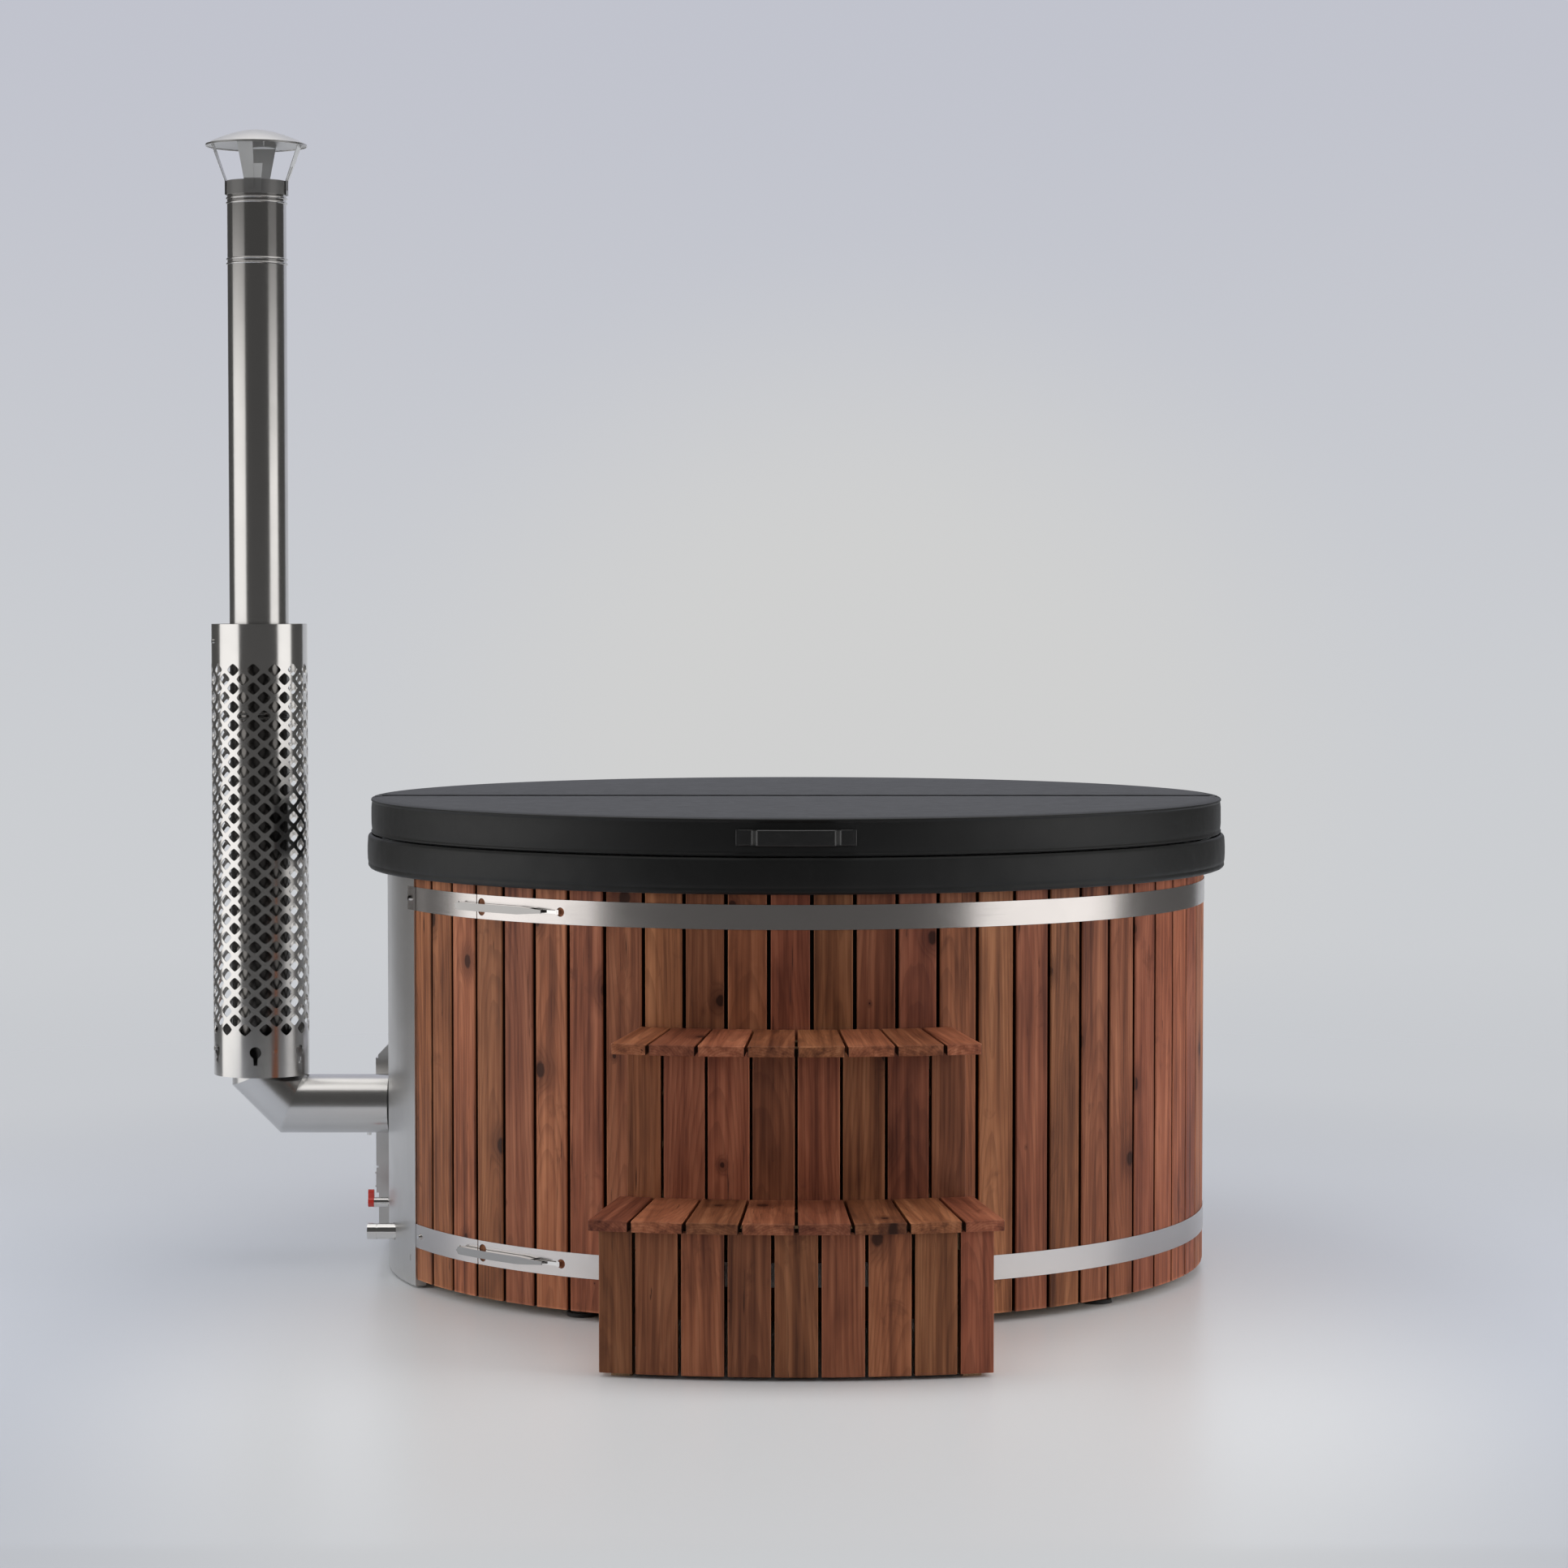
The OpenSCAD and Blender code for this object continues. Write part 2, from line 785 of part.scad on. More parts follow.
module heat_board() {
  color(foam)
    difference() {
      arc(board_in, board_out, stave_bottom, stave_top, last_a - 360 + board_edge_a,
        first_a - board_edge_a);
      wall_passages(4 * fit);
      bolt_holes();
    }
}

module stove_wall_plate() {
  color(steel)
    difference() {
      union() {
        arc(tub_r, plate_out, plate_bottom, stave_top, last_a - 360, first_a);
        at_polar(0, first_a)
          block(-plate_t, 0, -tub_r - plate_t / 2, -stave_in, plate_bottom, stave_top);
        at_polar(0, last_a)
          block(0, plate_t, -tub_r - plate_t / 2, -stave_in, plate_bottom, stave_top);
      }
      wall_passages(4 * fit);
      bolt_holes();
      at_polar(tub_r, first_a - vent_slot_a, vent_slot_z)
        block(-vent_slot_w / 2, vent_slot_w / 2, -cut, plate_t, 0, vent_slot_h);
    }
}

// Bands
module band_slot(z) {
  straight = band_slot_h - band_slot_w;
  at_polar(band_out + cut, slot_a, z)
    rotate([-90, 0, 0]) {
      for (side = [-1, 1])
        translate([0, side * straight / 2, 0]) cylinder(d = band_slot_w, h = 2 * cut);
      translate([-band_slot_w / 2, -straight / 2, 0]) cube([band_slot_w, straight, 2 * cut]);
    }
}

module hook_hole(z) {
  at_polar(band_out + cut, hook_hole_a, z)
    rotate([-90, 0, 0])
      cylinder(d = hook_hole_d, h = 2 * cut);
}

// The end of an upper band steps out and laps over the wall plate
module band_lap(z, edge, turn) {
  low = z - band_h / 2;
  high = z + band_h / 2;
  near = edge + turn * band_edge_a;
  far = edge - turn * lap_a;
  step = near + turn * lap_step_a;
  arc(lap_in, lap_out, low, high, min(step, far), max(step, far));
  arc(band_in, lap_out, low, high, min(near, step), max(near, step));
}

module band_long_pieces() {
  color(steel)
    difference() {
      for (z = band_mids)
        union() {
          arc(band_in, band_out, z - band_h / 2, z + band_h / 2, band_joint_a + joint_split_a,
            last_a - band_edge_a);
          if (z == band_mids[0]) band_lap(z, last_a, -1);
        }
      for (z = band_mids) {
        band_slot(z);
        hook_hole(z);
      }
      bolt_holes();
    }
}

module band_short_pieces() {
  color(steel)
    difference() {
      for (z = band_mids)
        union() {
          arc(band_in, band_out, z - band_h / 2, z + band_h / 2, first_a + band_edge_a,
            band_joint_a - joint_split_a);
          if (z == band_mids[0]) band_lap(z, first_a, 1);
        }
      bolt_holes();
    }
}

module band_bolt(r, a, z) {
  at_polar(r, a, z)
    rotate([90, 0, 0]) {
      cylinder(r = bolt_head_r, h = bolt_head_h * foot_pad_share);
      cylinder(r = bolt_head_r * foot_neck_share, h = bolt_head_h);
      translate([0, 0, -bolt_l]) cylinder(d = bolt_d, h = bolt_l + bolt_head_h / 2);
    }
}

module band_bolts() {
  color(steel)
    for (side = [0, 1]) {
      edge = side == 0 ? first_a : last_a;
      turn = side == 0 ? 1 : -1;
      band_bolt(lap_out, edge - turn * upper_bolt_a, band_mids[0]);
      band_bolt(band_out, edge + turn * lower_bolt_a, band_mids[1]);
    }
}

// Latches
module latch_bases() {
  color(steel)
    for (z = band_mids)
      difference() {
        union() {
          arc(band_out, band_out + base_t, z - lever_h / 2 + lever_t, z + lever_h / 2 - lever_t,
            lever_pivot_a - 0.4, band_joint_a - 2 * band_edge_a);
          for (side = [-1, 1])
            latch_lug(z + side * (lever_h / 2 - lever_t - lug_gap - lug_t / 2) - lug_t / 2);
        }
        at_polar(lever_pivot_r, lever_pivot_a, z - lever_h)
          cylinder(d = pivot_d, h = 2 * lever_h);
      }
}

module latch_lug(z) {
  at_polar(lever_pivot_r, lever_pivot_a, z) {
    cylinder(r = lug_r, h = lug_t);
    translate([-lug_r, 0, 0]) cube([2 * lug_r, lever_pivot_r - band_out - base_t / 2, lug_t]);
  }
}

module latch_pivot_pins() {
  color(steel)
    for (z = band_mids)
      at_polar(lever_pivot_r, lever_pivot_a, z - lever_h / 2 - lever_slack)
        cylinder(d = pivot_d, h = lever_h + 2 * lever_slack);
}

// The lever's outline seen from outside the tub: round or pointed at its pivot, narrow at its free end
module lever_outline(pointed) {
  half = lever_h / 2;
  left = lever_in * sin(lever_pivot_a - lever_mid_a) - lever_web_back;
  taper = lever_out * sin(lever_taper_a - lever_mid_a);
  right = lever_out * sin(lever_end_a - lever_mid_a) + cut;
  tip = half - (right - cut - taper) * lever_taper_share;
  polygon([[left + half, -half], [taper, -half], [right, -tip], [right, tip], [taper, half],
    [left + half, half]]);
  if (pointed) polygon([[left, 0], [left + half, -half], [left + 2 * half, 0], [left + half, half]]);
  else translate([left + half, 0]) circle(r = half);
}

module latch_lever(z, pointed) {
  back_a = asin(lever_web_back / lever_in);
  color(steel) {
    difference() {
      intersection() {
        arc(lever_in, lever_out, z - lever_h, z + lever_h, lever_pivot_a - 2 * back_a, lever_end_a);
        at_polar(lever_in - cut, lever_mid_a, z)
          rotate([90, 0, 0])
            linear_extrude(height = lever_depth + 3 * cut)
              lever_outline(pointed);
      }
      arc(lever_in - cut, lever_out - lever_t, z - lever_h / 2 + lever_t, z + lever_h / 2 - lever_t,
        lever_pivot_a - 3 * back_a, lever_end_a + 1);
      at_polar(lever_pivot_r, lever_pivot_a, z - lever_h)
        cylinder(r = pivot_d / 2 + run_gap, h = 2 * lever_h);
    }
    at_polar(hook_pivot_r, hook_pivot_a, z - lever_h / 2 + lever_t / 2)
      cylinder(d = hook_pin_d, h = lever_h - lever_t);
  }
}

module latch_hook(z) {
  eye_h = lever_h - 2 * lever_t - 2 * lug_gap;
  tip_reach = sqrt(pow(hook_hole_d / 2 - 2 * fit, 2) - pow(hook_tip_h / 2, 2));
  tip_a = hook_hole_a - asin(tip_reach / band_out);
  tip_end_a = hook_hole_a + asin(fit / band_out);
  color(steel)
    difference() {
      union() {
        at_polar(hook_pivot_r, hook_pivot_a, z - eye_h / 2)
          cylinder(r = hook_eye_r, h = eye_h);
        arc(hook_in, hook_in + hook_t, z - hook_h / 2, z + hook_h / 2, hook_pivot_a,
          (tip_a + tip_end_a) / 2);
        arc(band_in + fit, hook_in + hook_t - fit, z - hook_tip_h / 2, z + hook_tip_h / 2, tip_a,
          tip_end_a);
      }
      at_polar(hook_pivot_r, hook_pivot_a, z - lever_h)
        cylinder(r = hook_pin_d / 2 + run_gap, h = 2 * lever_h);
    }
}

// Cover: side is -1 for the front half and 1 for the rear half
module half_space_of(side, gap) {
  y0 = side < 0 ? -2 * tub_r : gap;
  translate([-2 * tub_r, y0, 0])
    cube([4 * tub_r, 2 * tub_r - gap, 4 * tub_r]);
}

// A disc with its upper edge rounded
module round_disc(r, z0, z1, round_r) {
  translate([0, 0, z0]) cylinder(r = r, h = z1 - z0 - round_r, $fn = wide_fn);
  translate([0, 0, z0]) cylinder(r = r - round_r, h = z1 - z0, $fn = wide_fn);
  rotate_extrude($fn = wide_fn)
    translate([r - round_r, z1 - round_r])
      circle(r = round_r, $fn = round_fn);
}

module lid_jacket(side) {
  color(leatherette)
    difference() {
      intersection() {
        round_disc(pad_r, pad_bottom, pad_top, pad_round);
        half_space_of(side, half_gap);
      }
      intersection() {
        round_disc(pad_r - jacket_t, pad_bottom - cut, pad_top - jacket_t, pad_round - jacket_t);
        half_space_of(side, half_gap + jacket_t);
      }
    }
}

module lid_core(side) {
  color(foam)
    intersection() {
      union() {
        round_disc(core_r, pad_bottom, pad_top - jacket_t - fit, pad_round - jacket_t);
        translate([0, 0, core_bottom]) cylinder(r = core_step_r, h = pad_h / 2, $fn = wide_fn);
      }
      half_space_of(side, half_gap + jacket_t + fit);
    }
}

// The skirt is a fat roll with flat sides, narrower at its top than at its belly
module skirt_profile() {
  r = skirt_t / 2;
  low = skirt_top - skirt_h;
  translate([skirt_mid_r, low + r]) circle(r = r);
  translate([skirt_in, low + r]) square([skirt_t, skirt_h - 2 * r]);
  translate([skirt_mid_r, skirt_top - r]) circle(r = r);
  translate([skirt_in + r / 2, skirt_top - r]) square([r, r]);
}

module lid_skirt(side) {
  color(leatherette)
    intersection() {
      rotate_extrude($fn = wide_fn) skirt_profile($fn = round_fn);
      half_space_of(side, half_gap);
    }
}

module lid_flap(side) {
  y0 = side < 0 ? -flap_w - half_gap : half_gap;
  color(leatherette)
    block(-flap_l, flap_l, y0, y0 + flap_w, pad_top, pad_top + flap_t);
}

module lid_handle(side) {
  turn = side < 0 ? 0 : 180;
  tab_t = grip_t / 2;
  high = grip_z + grip_h;
  leg_a = asin(2 * grip_t / grip_in);
  end_a = grip_half_a + leg_a;
  tab_a = grip_half_a + leg_a / 2;
  color(rubber_black)
    translate([0, side * half_gap, 0])
      rotate([0, 0, turn]) {
        difference() {
          arc(pad_r, grip_out, grip_z, high, -end_a, end_a);
          arc(pad_r - cut, grip_in, grip_z - cut, high + cut, -grip_half_a, grip_half_a);
        }
        arc(pad_r, pad_r + tab_t, grip_z, high, -tab_out_a, -tab_a);
        arc(pad_r, pad_r + tab_t, grip_z, high, tab_a, tab_out_a);
      }
}

// Steps: the board lines run to one point behind the tub's axis
module step_wedge(a0, a1, gap0, gap1) {
  near = step_focus;
  far = step_far;
  d0 = gap0 / (step_focus + upper_riser_r) * 180 / PI / 2;
  d1 = gap1 / (step_focus + upper_riser_r) * 180 / PI / 2;
  b0 = a0 + d0;
  b1 = a1 - d1;
  translate([0, step_focus, 0])
    linear_extrude(height = rim_z)
      polygon([[near * tan(b0), -near], [far * tan(b0), -far], [far * tan(b1), -far],
        [near * tan(b1), -near]]);
}

// Curved row of boards between two radii, with narrower boards at both ends
module board_row(count, half_a, pitch_a, r0, r1, z0, z1) {
  first = -pitch_a * (count - 2) / 2;
  for (k = [0 : count - 1]) {
    a0 = k == 0 ? -half_a : first + (k - 1) * pitch_a;
    a1 = k == count - 1 ? half_a : first + k * pitch_a;
    intersection() {
      tube(r0, r1, z0, z1);
      step_wedge(a0, a1, k == 0 ? 0 : step_gap, k == count - 1 ? 0 : step_gap);
    }
  }
}

tread_pitch_a = tread_half_a * 0.266;
lower_riser_pitch_a = riser_half_a * 0.234;
upper_riser_pitch_a = riser_half_a * 0.262;

module steps_lower_treads() {
  color(stained_wood)
    board_row(tread_count, tread_half_a, tread_pitch_a, upper_riser_r + fit, lower_tread_r,
      lower_tread_under, lower_step_z);
}

module steps_upper_treads() {
  color(stained_wood)
    board_row(tread_count, tread_half_a, tread_pitch_a, back_r, upper_tread_r,
      upper_tread_under, upper_step_z);
}

module steps_lower_risers() {
  color(stained_wood)
    board_row(lower_riser_count, riser_half_a, lower_riser_pitch_a, lower_riser_r - riser_t,
      lower_riser_r, riser_bottom, lower_tread_under);
}

module steps_upper_risers() {
  color(stained_wood)
    board_row(upper_riser_count, riser_half_a, upper_riser_pitch_a, upper_riser_r - riser_t,
      upper_riser_r, lower_tread_under, upper_tread_under);
}

// A board or post along one side of the steps, set in from the side plane
module side_piece(side, inset, wide, r0, r1, z0, z1) {
  x0 = side > 0 ? -inset - wide : inset;
  intersection() {
    translate([0, step_focus, 0])
      rotate([0, 0, side * riser_half_a])
        block(x0, x0 + wide, -step_far, -step_focus, z0, z1);
    tube(r0, r1, z0 - cut, z1 + cut);
  }
}

module steps_side_boards() {
  lower_h = (lower_tread_under - riser_bottom + step_gap) / side_board_count;
  upper_h = (upper_tread_under - lower_tread_under) / side_board_count;
  color(stained_wood)
    for (side = [-1, 1], k = [0 : side_board_count - 1]) {
      side_piece(side, 0, riser_t, back_r, lower_riser_r - riser_t - fit,
        riser_bottom + k * lower_h, riser_bottom + (k + 1) * lower_h - step_gap);
      side_piece(side, 0, riser_t, back_r, upper_riser_r - riser_t - fit,
        lower_tread_under + step_gap + k * upper_h, lower_tread_under + (k + 1) * upper_h);
    }
}

// Half the room between the side boards at the distance y in front of the tub's axis
function side_room(y) = (step_focus + y) * tan(riser_half_a) - riser_t / cos(riser_half_a) - fit;

module cross_rail(y, z1) {
  half = side_room(y - post_w);
  block(-half, half, -y, -y + post_w, z1 - post_w, z1);
}

module steps_frame() {
  front_y = sqrt(pow(lower_riser_r - riser_t - fit, 2) - pow(side_room(lower_riser_r), 2));
  middle_y = sqrt(pow(upper_riser_r - riser_t - fit, 2) - pow(side_room(upper_riser_r), 2));
  lower_post_top = lower_tread_under - post_w - fit;
  upper_post_top = upper_tread_under - post_w - fit;
  front_r = lower_riser_r - riser_t - fit;
  middle_r = upper_riser_r - riser_t - fit;
  rear_r = back_r + post_w / 2;
  color(plain_wood) {
    for (side = [-1, 1]) {
      side_piece(side, riser_t, post_w, front_r - post_w, front_r, 0, lower_post_top);
      side_piece(side, riser_t, post_w, middle_r - post_w, middle_r, 0, upper_post_top);
      side_piece(side, riser_t, post_w, rear_r, rear_r + post_w, 0, upper_post_top);
    }
    cross_rail(front_y, lower_tread_under);
    cross_rail(upper_riser_r + post_w / 2, lower_tread_under);
    cross_rail(middle_y, upper_tread_under);
    cross_rail(back_r + post_w, upper_tread_under);
  }
}

// Stove
module firebox() {
  color(dark_steel) {
    difference() {
      union() {
        block(-fire_far, -fire_x, fire_y, fire_y + fire_w, fire_bottom, fire_top);
        block(-front_back_x, -fire_far + fire_t, neck_y, neck_far, fire_bottom, neck_top);
        rod_x(-tub_r - socket_l, -fire_far + fire_t, 0, flue_z, spigot_r);
        for (x = [-fire_far, -fire_x - fire_leg_w], y = [fire_y, fire_y + fire_w - fire_leg_w])
          translate([x, y, basin_floor]) cube([fire_leg_w, fire_leg_w, fire_leg + fire_t]);
      }
      block(-fire_far + fire_t, -fire_x - fire_t, fire_y + fire_t, fire_y + fire_w - fire_t,
        fire_bottom + fire_t, fire_top - fire_t);
      block(-front_back_x - cut, -fire_far + 2 * fire_t, neck_y + fire_t, neck_far - fire_t,
        fire_bottom + fire_t, neck_top - fire_t);
      rod_x(-tub_r - socket_l - cut, -fire_far + 2 * fire_t, 0, flue_z, spigot_r - flue_t);
    }
    block(-front_back_x, -fire_far + fire_t, neck_y + fire_t / 2, neck_far - fire_t / 2,
      shelf_z, grate_z);
    for (y = [neck_y, neck_far - fire_t])
      block(-fire_far + fire_t / 2, -fire_x - fire_t / 2, y, y + fire_t, ash_floor - fire_t / 2,
        grate_z);
  }
}

module grate() {
  x0 = -fire_far + fire_t + fit;
  x1 = -fire_x - fire_t - fit;
  rim = 2 * fire_t;
  pitch = (neck_w - 2 * rim) / grate_count;
  color(dark_steel)
    difference() {
      block(x0, x1, neck_y, neck_far, grate_z, grate_z + grate_t);
      for (k = [0 : grate_count - 1])
        translate([x0 + rim, neck_y + rim + (k + 0.5) * pitch - grate_gap / 2, grate_z - cut])
          cube([x1 - x0 - 2 * rim, grate_gap, grate_t + 2 * cut]);
    }
}

module box_side_profile(inset) {
  front = box_x - inset;
  polygon([[-front, box_bottom + inset], [-front, box_top - inset],
    [-front + hood, box_top + hood - inset], [0, box_top + hood - inset],
    [0, box_bottom + inset]]);
}

module stove_door_frame() {
  box_w = box_y1 - box_y0;
  color(steel) {
    difference() {
      translate([0, box_y1, 0])
        rotate([90, 0, 0])
          linear_extrude(height = box_w)
            box_side_profile(0);
      translate([0, box_y1 - box_t, 0])
        rotate([90, 0, 0])
          linear_extrude(height = box_w - 2 * box_t)
            box_side_profile(box_t);
      translate([0, 0, -cut]) cylinder(r = plate_out + fit, h = rim_z, $fn = wide_fn);
      block(-box_x - cut, -front_back_x + cut, open_y0, open_y1, open_z0, open_z1);
      block(-box_x - cut, -front_back_x + cut, neck_y + fire_t, neck_far - fire_t,
        ash_floor, shelf_z);
    }
    for (z = [door_z0 + knuckle_inset + knuckle_h + fit, door_z1 - knuckle_inset - 2 * knuckle_h - fit])
      from_far_side()
        hinge_knuckle(z, hinge_pin_r)
          translate([0, -hinge_r, 0])
            cube([hinge_x - box_x + box_t / 2, hinge_r, knuckle_h]);
  }
}

// The door hangs on the side away from the flue, so that it opens clear of the heat guard
module from_far_side() {
  translate([0, neck_y + neck_far, 0]) mirror([0, 1, 0]) children();
}

// A hinge barrel with the tab that its child draws from the barrel's axis
module hinge_knuckle(z, bore_r) {
  translate([-hinge_x, hinge_y, z])
    difference() {
      union() {
        cylinder(r = hinge_r, h = knuckle_h);
        children();
      }
      translate([0, 0, -cut]) cylinder(r = bore_r, h = knuckle_h + 2 * cut);
    }
}

module stove_door() {
  color(dark_steel)
    from_far_side() {
      block(-door_out, -door_x, door_y0, door_y1, door_z0, door_z1);
      for (z = [door_z0 + knuckle_inset, door_z1 - knuckle_inset - knuckle_h])
        hinge_knuckle(z, hinge_pin_r + run_gap)
          cube([hinge_r, 2 * hinge_r, knuckle_h]);
    }
}

module door_hinge_pins() {
  pin_l = 2 * knuckle_h + fit;
  color(steel)
    for (z = [door_z0 + knuckle_inset, door_z1 - knuckle_inset - pin_l])
      from_far_side()
        translate([-hinge_x, hinge_y, z]) cylinder(r = hinge_pin_r, h = pin_l);
}

module door_gasket() {
  y0 = open_y0 + gasket_gap;
  y1 = open_y1 - gasket_gap;
  z0 = open_z0 + gasket_gap;
  z1 = open_z1 - gasket_gap;
  color(plain_wood)
    difference() {
      block(-door_x, -door_x + gasket_t, y0, y1, z0, z1);
      block(-door_x - cut, -door_x + gasket_t + cut, y0 + gasket_w, y1 - gasket_w,
        z0 + gasket_w, z1 - gasket_w);
    }
}

module door_handle() {
  mid_z = (door_z0 + door_z1) / 2;
  bar_x = door_out + handle_room + handle_r;
  color(steel)
    from_far_side() {
      translate([-bar_x, handle_y, mid_z - handle_l / 2]) cylinder(r = handle_r, h = handle_l);
      for (side = [-1, 1])
        rod_x(-bar_x, -door_out, handle_y, mid_z + side * (handle_l / 2 - 2 * handle_r), handle_r);
    }
}

module ash_drawer() {
  y0 = neck_y + fire_t + drawer_gap;
  y1 = neck_far - fire_t - drawer_gap;
  z0 = ash_floor + fit;
  z1 = shelf_z - fire_t;
  slide_z = ash_floor + (ash_h - slide_h) / 2;
  front_z0 = ash_floor - fire_t / 2;
  color(dark_steel)
    difference() {
      union() {
        block(-door_out, -door_x, neck_y + fire_t / 2, neck_far - fire_t / 2, front_z0,
          front_z0 + drawer_front_h);
        block(-door_x, -drawer_back, y0, y1, z0, z1);
        for (z = [slide_z - slide_t - fit, slide_z + slide_h + fit])
          block(-door_out - 2 * slide_t, -door_out, slide_y, slide_y + slide_l + slide_travel, z,
            z + slide_t);
        rod_x(-door_out - drawer_knob_l, -door_out, door_y1 - 1.2 * drawer_knob_d,
          ash_floor + ash_h / 2, drawer_knob_d / 2);
      }
      block(-door_x, -drawer_back - drawer_t, y0 + drawer_t, y1 - drawer_t, z0 + drawer_t,
        z1 + cut);
      for (k = [1 : slide_slots])
        block(-door_out - cut, -door_x + cut, slide_y + k * slide_pitch - slide_slot_w / 2,
          slide_y + k * slide_pitch + slide_slot_w / 2, slide_z + 2 * slide_t,
          slide_z + slide_h - 2 * slide_t);
    }
}

module air_slide() {
  slide_z = ash_floor + (ash_h - slide_h) / 2;
  x1 = -door_out - fit;
  color(steel)
    difference() {
      union() {
        block(x1 - slide_t + fit, x1, slide_y, slide_y + slide_l, slide_z, slide_z + slide_h);
        rod_x(x1 - slide_t - slide_knob_l, x1 - slide_t / 2,
          slide_y + slide_l - 1.2 * slide_knob_d, slide_z + slide_h / 2, slide_knob_d / 2);
      }
      for (k = [1 : slide_slots - 1])
        block(x1 - cut, x1 + cut, slide_y + k * slide_pitch - slide_slot_w / 2,
          slide_y + k * slide_pitch + slide_slot_w / 2, slide_z + 2 * slide_t,
          slide_z + slide_h - 2 * slide_t);
    }
}

module stove_fence() {
  low = basin_floor + fence_lift;
  color(plain_wood) {
    for (k = [0 : slat_count - 1])
      block(-fence_x - slat_t, -fence_x, -fence_half + k * (slat_w + slat_gap),
        -fence_half + k * (slat_w + slat_gap) + slat_w, low, low + fence_h);
    for (share = [rail_share, 1 - rail_share])
      block(-fence_x - 2 * slat_t, -fence_x - slat_t - fit, -fence_half, fence_half,
        low + share * fence_h - rail_h / 2, low + share * fence_h + rail_h / 2);
  }
}

// Chimney
// One leg of a mitred turn: it runs up from the mitre plane
module elbow_leg(r, l) {
  intersection() {
    translate([0, 0, -2 * r]) cylinder(r = r, h = l + 2 * r);
    rotate([0, -mitre_a, 0]) translate([-half_space / 2, -half_space / 2, 0]) cube(half_space);
  }
}

// The second leg of a turn is the first one's mirror image in the mitre plane
module elbow_legs(r, up_l, down_l) {
  elbow_leg(r, up_l);
  rotate([0, -mitre_a, 0])
    mirror([0, 0, 1])
      rotate([0, mitre_a, 0])
        elbow_leg(r, down_l);
}

module elbow_turn(up_l, down_l) {
  difference() {
    elbow_legs(flue_r, up_l, down_l);
    elbow_legs(flue_r - flue_t, up_l + cut, down_l + cut);
  }
}

module flue_elbow() {
  color(steel) {
    translate([turn_one[0], 0, turn_one[1]])
      rotate([0, -2 * mitre_a, 0])
        elbow_turn(turn_l / 2, turn_x - plate_out - elbow_gap);
    translate([turn_two[0], 0, turn_two[1]])
      elbow_turn(elbow_end_z - turn_two[1], turn_l / 2);
  }
}

// A pipe whose lower end is drawn in to fit inside the pipe below it
module pipe_section(z0, z1, beads) {
  translate([stack_x, 0, 0])
    rotate_extrude() {
      polygon([[spigot_r - flue_t, z0 - spigot_l], [spigot_r, z0 - spigot_l], [spigot_r, z0],
        [flue_r, z0], [flue_r, z1], [flue_r - flue_t, z1], [flue_r - flue_t, z0 + flue_t],
        [spigot_r - flue_t, z0 + flue_t]]);
      for (z = beads)
        intersection() {
          translate([flue_r, z]) circle(r = bead_r);
          translate([flue_r - flue_t / 2, z - bead_r]) square(2 * bead_r);
        }
    }
}

module chimney_lower_pipe() {
  color(steel) pipe_section(elbow_end_z, mid_joint_z, [mid_joint_z - bead_drop]);
}

module chimney_upper_pipe() {
  color(steel) pipe_section(mid_joint_z, top_joint_z,
    [mid_joint_z + bead_rise, top_joint_z - bead_drop]);
}

module chimney_top_pipe() {
  color(steel) pipe_section(top_joint_z, pipe_top_z,
    [top_joint_z + bead_rise, top_bead_z, top_bead_z + bead_drop + bead_rise]);
}

// Share of the cone's height that is left at the radius r of a cone with the radius edge
function dome(r, edge) = 1 - pow(r / edge, cone_power);

// Height of the cone's underside at the radius r
function cone_under(r) = cone_rim_z + (cone_tip_z - cone_t - cone_rim_z) * dome(r, cone_d / 2 - cone_t);

// A bent strap with a rib, from the collar up to the cone. It widens, and may have a slot
module cap_strut(slotted) {
  r0 = flue_r + fit + flue_t / 2;
  r1 = cone_d / 2 - strut_inset;
  z0 = pipe_top_z - collar_h;
  low = strut_w_low / 2;
  high = strut_w_high / 2;
  z1 = cone_under(norm([r1 + flue_t, high])) - fit;
  intersection() {
    translate([0, high + cut, 0])
      rotate([90, 0, 0])
        linear_extrude(height = strut_w_high + 2 * cut)
          strut_profile(r0, r1, z0, z1, flue_t);
    rotate([90, 0, 90])
      linear_extrude(height = cone_d)
        difference() {
          polygon([[-low, z0 - cut], [low, z0 - cut], [low, pipe_top_z], [high, z1 + cut],
            [-high, z1 + cut], [-low, pipe_top_z]]);
          if (slotted)
            translate([strut_edge, z1 - strut_edge - strut_slot_h])
              square([strut_slot_w, strut_slot_h]);
        }
  }
  intersection() {
    translate([0, strut_rib_w / 2, 0])
      rotate([90, 0, 0])
        linear_extrude(height = strut_rib_w)
          strut_profile(r0, r1, z0, z1, 2 * flue_t);
    translate([0, -strut_rib_w / 2 - cut, pipe_top_z - strut_rib_drop])
      cube([cone_d, strut_rib_w + 2 * cut, z1 - pipe_top_z + strut_rib_drop - strut_slot_h - strut_edge]);
  }
}

// Side view of a strut t thick
module strut_profile(r0, r1, z0, z1, t) {
  polygon([[r0, z0], [r0 + t, z0], [r0 + t, pipe_top_z], [r1 + t, z1], [r1, z1],
    [r0, pipe_top_z + flue_t / 2]]);
}

module cap_bracket() {
  color(steel)
    translate([stack_x, 0, 0]) {
      tube(flue_r + fit, flue_r + fit + flue_t, pipe_top_z - collar_h - 2 * fit, pipe_top_z);
      for (k = [1 : strut_count])
        rotate([0, 0, -k * 360 / strut_count]) cap_strut(k == 1);
    }
}

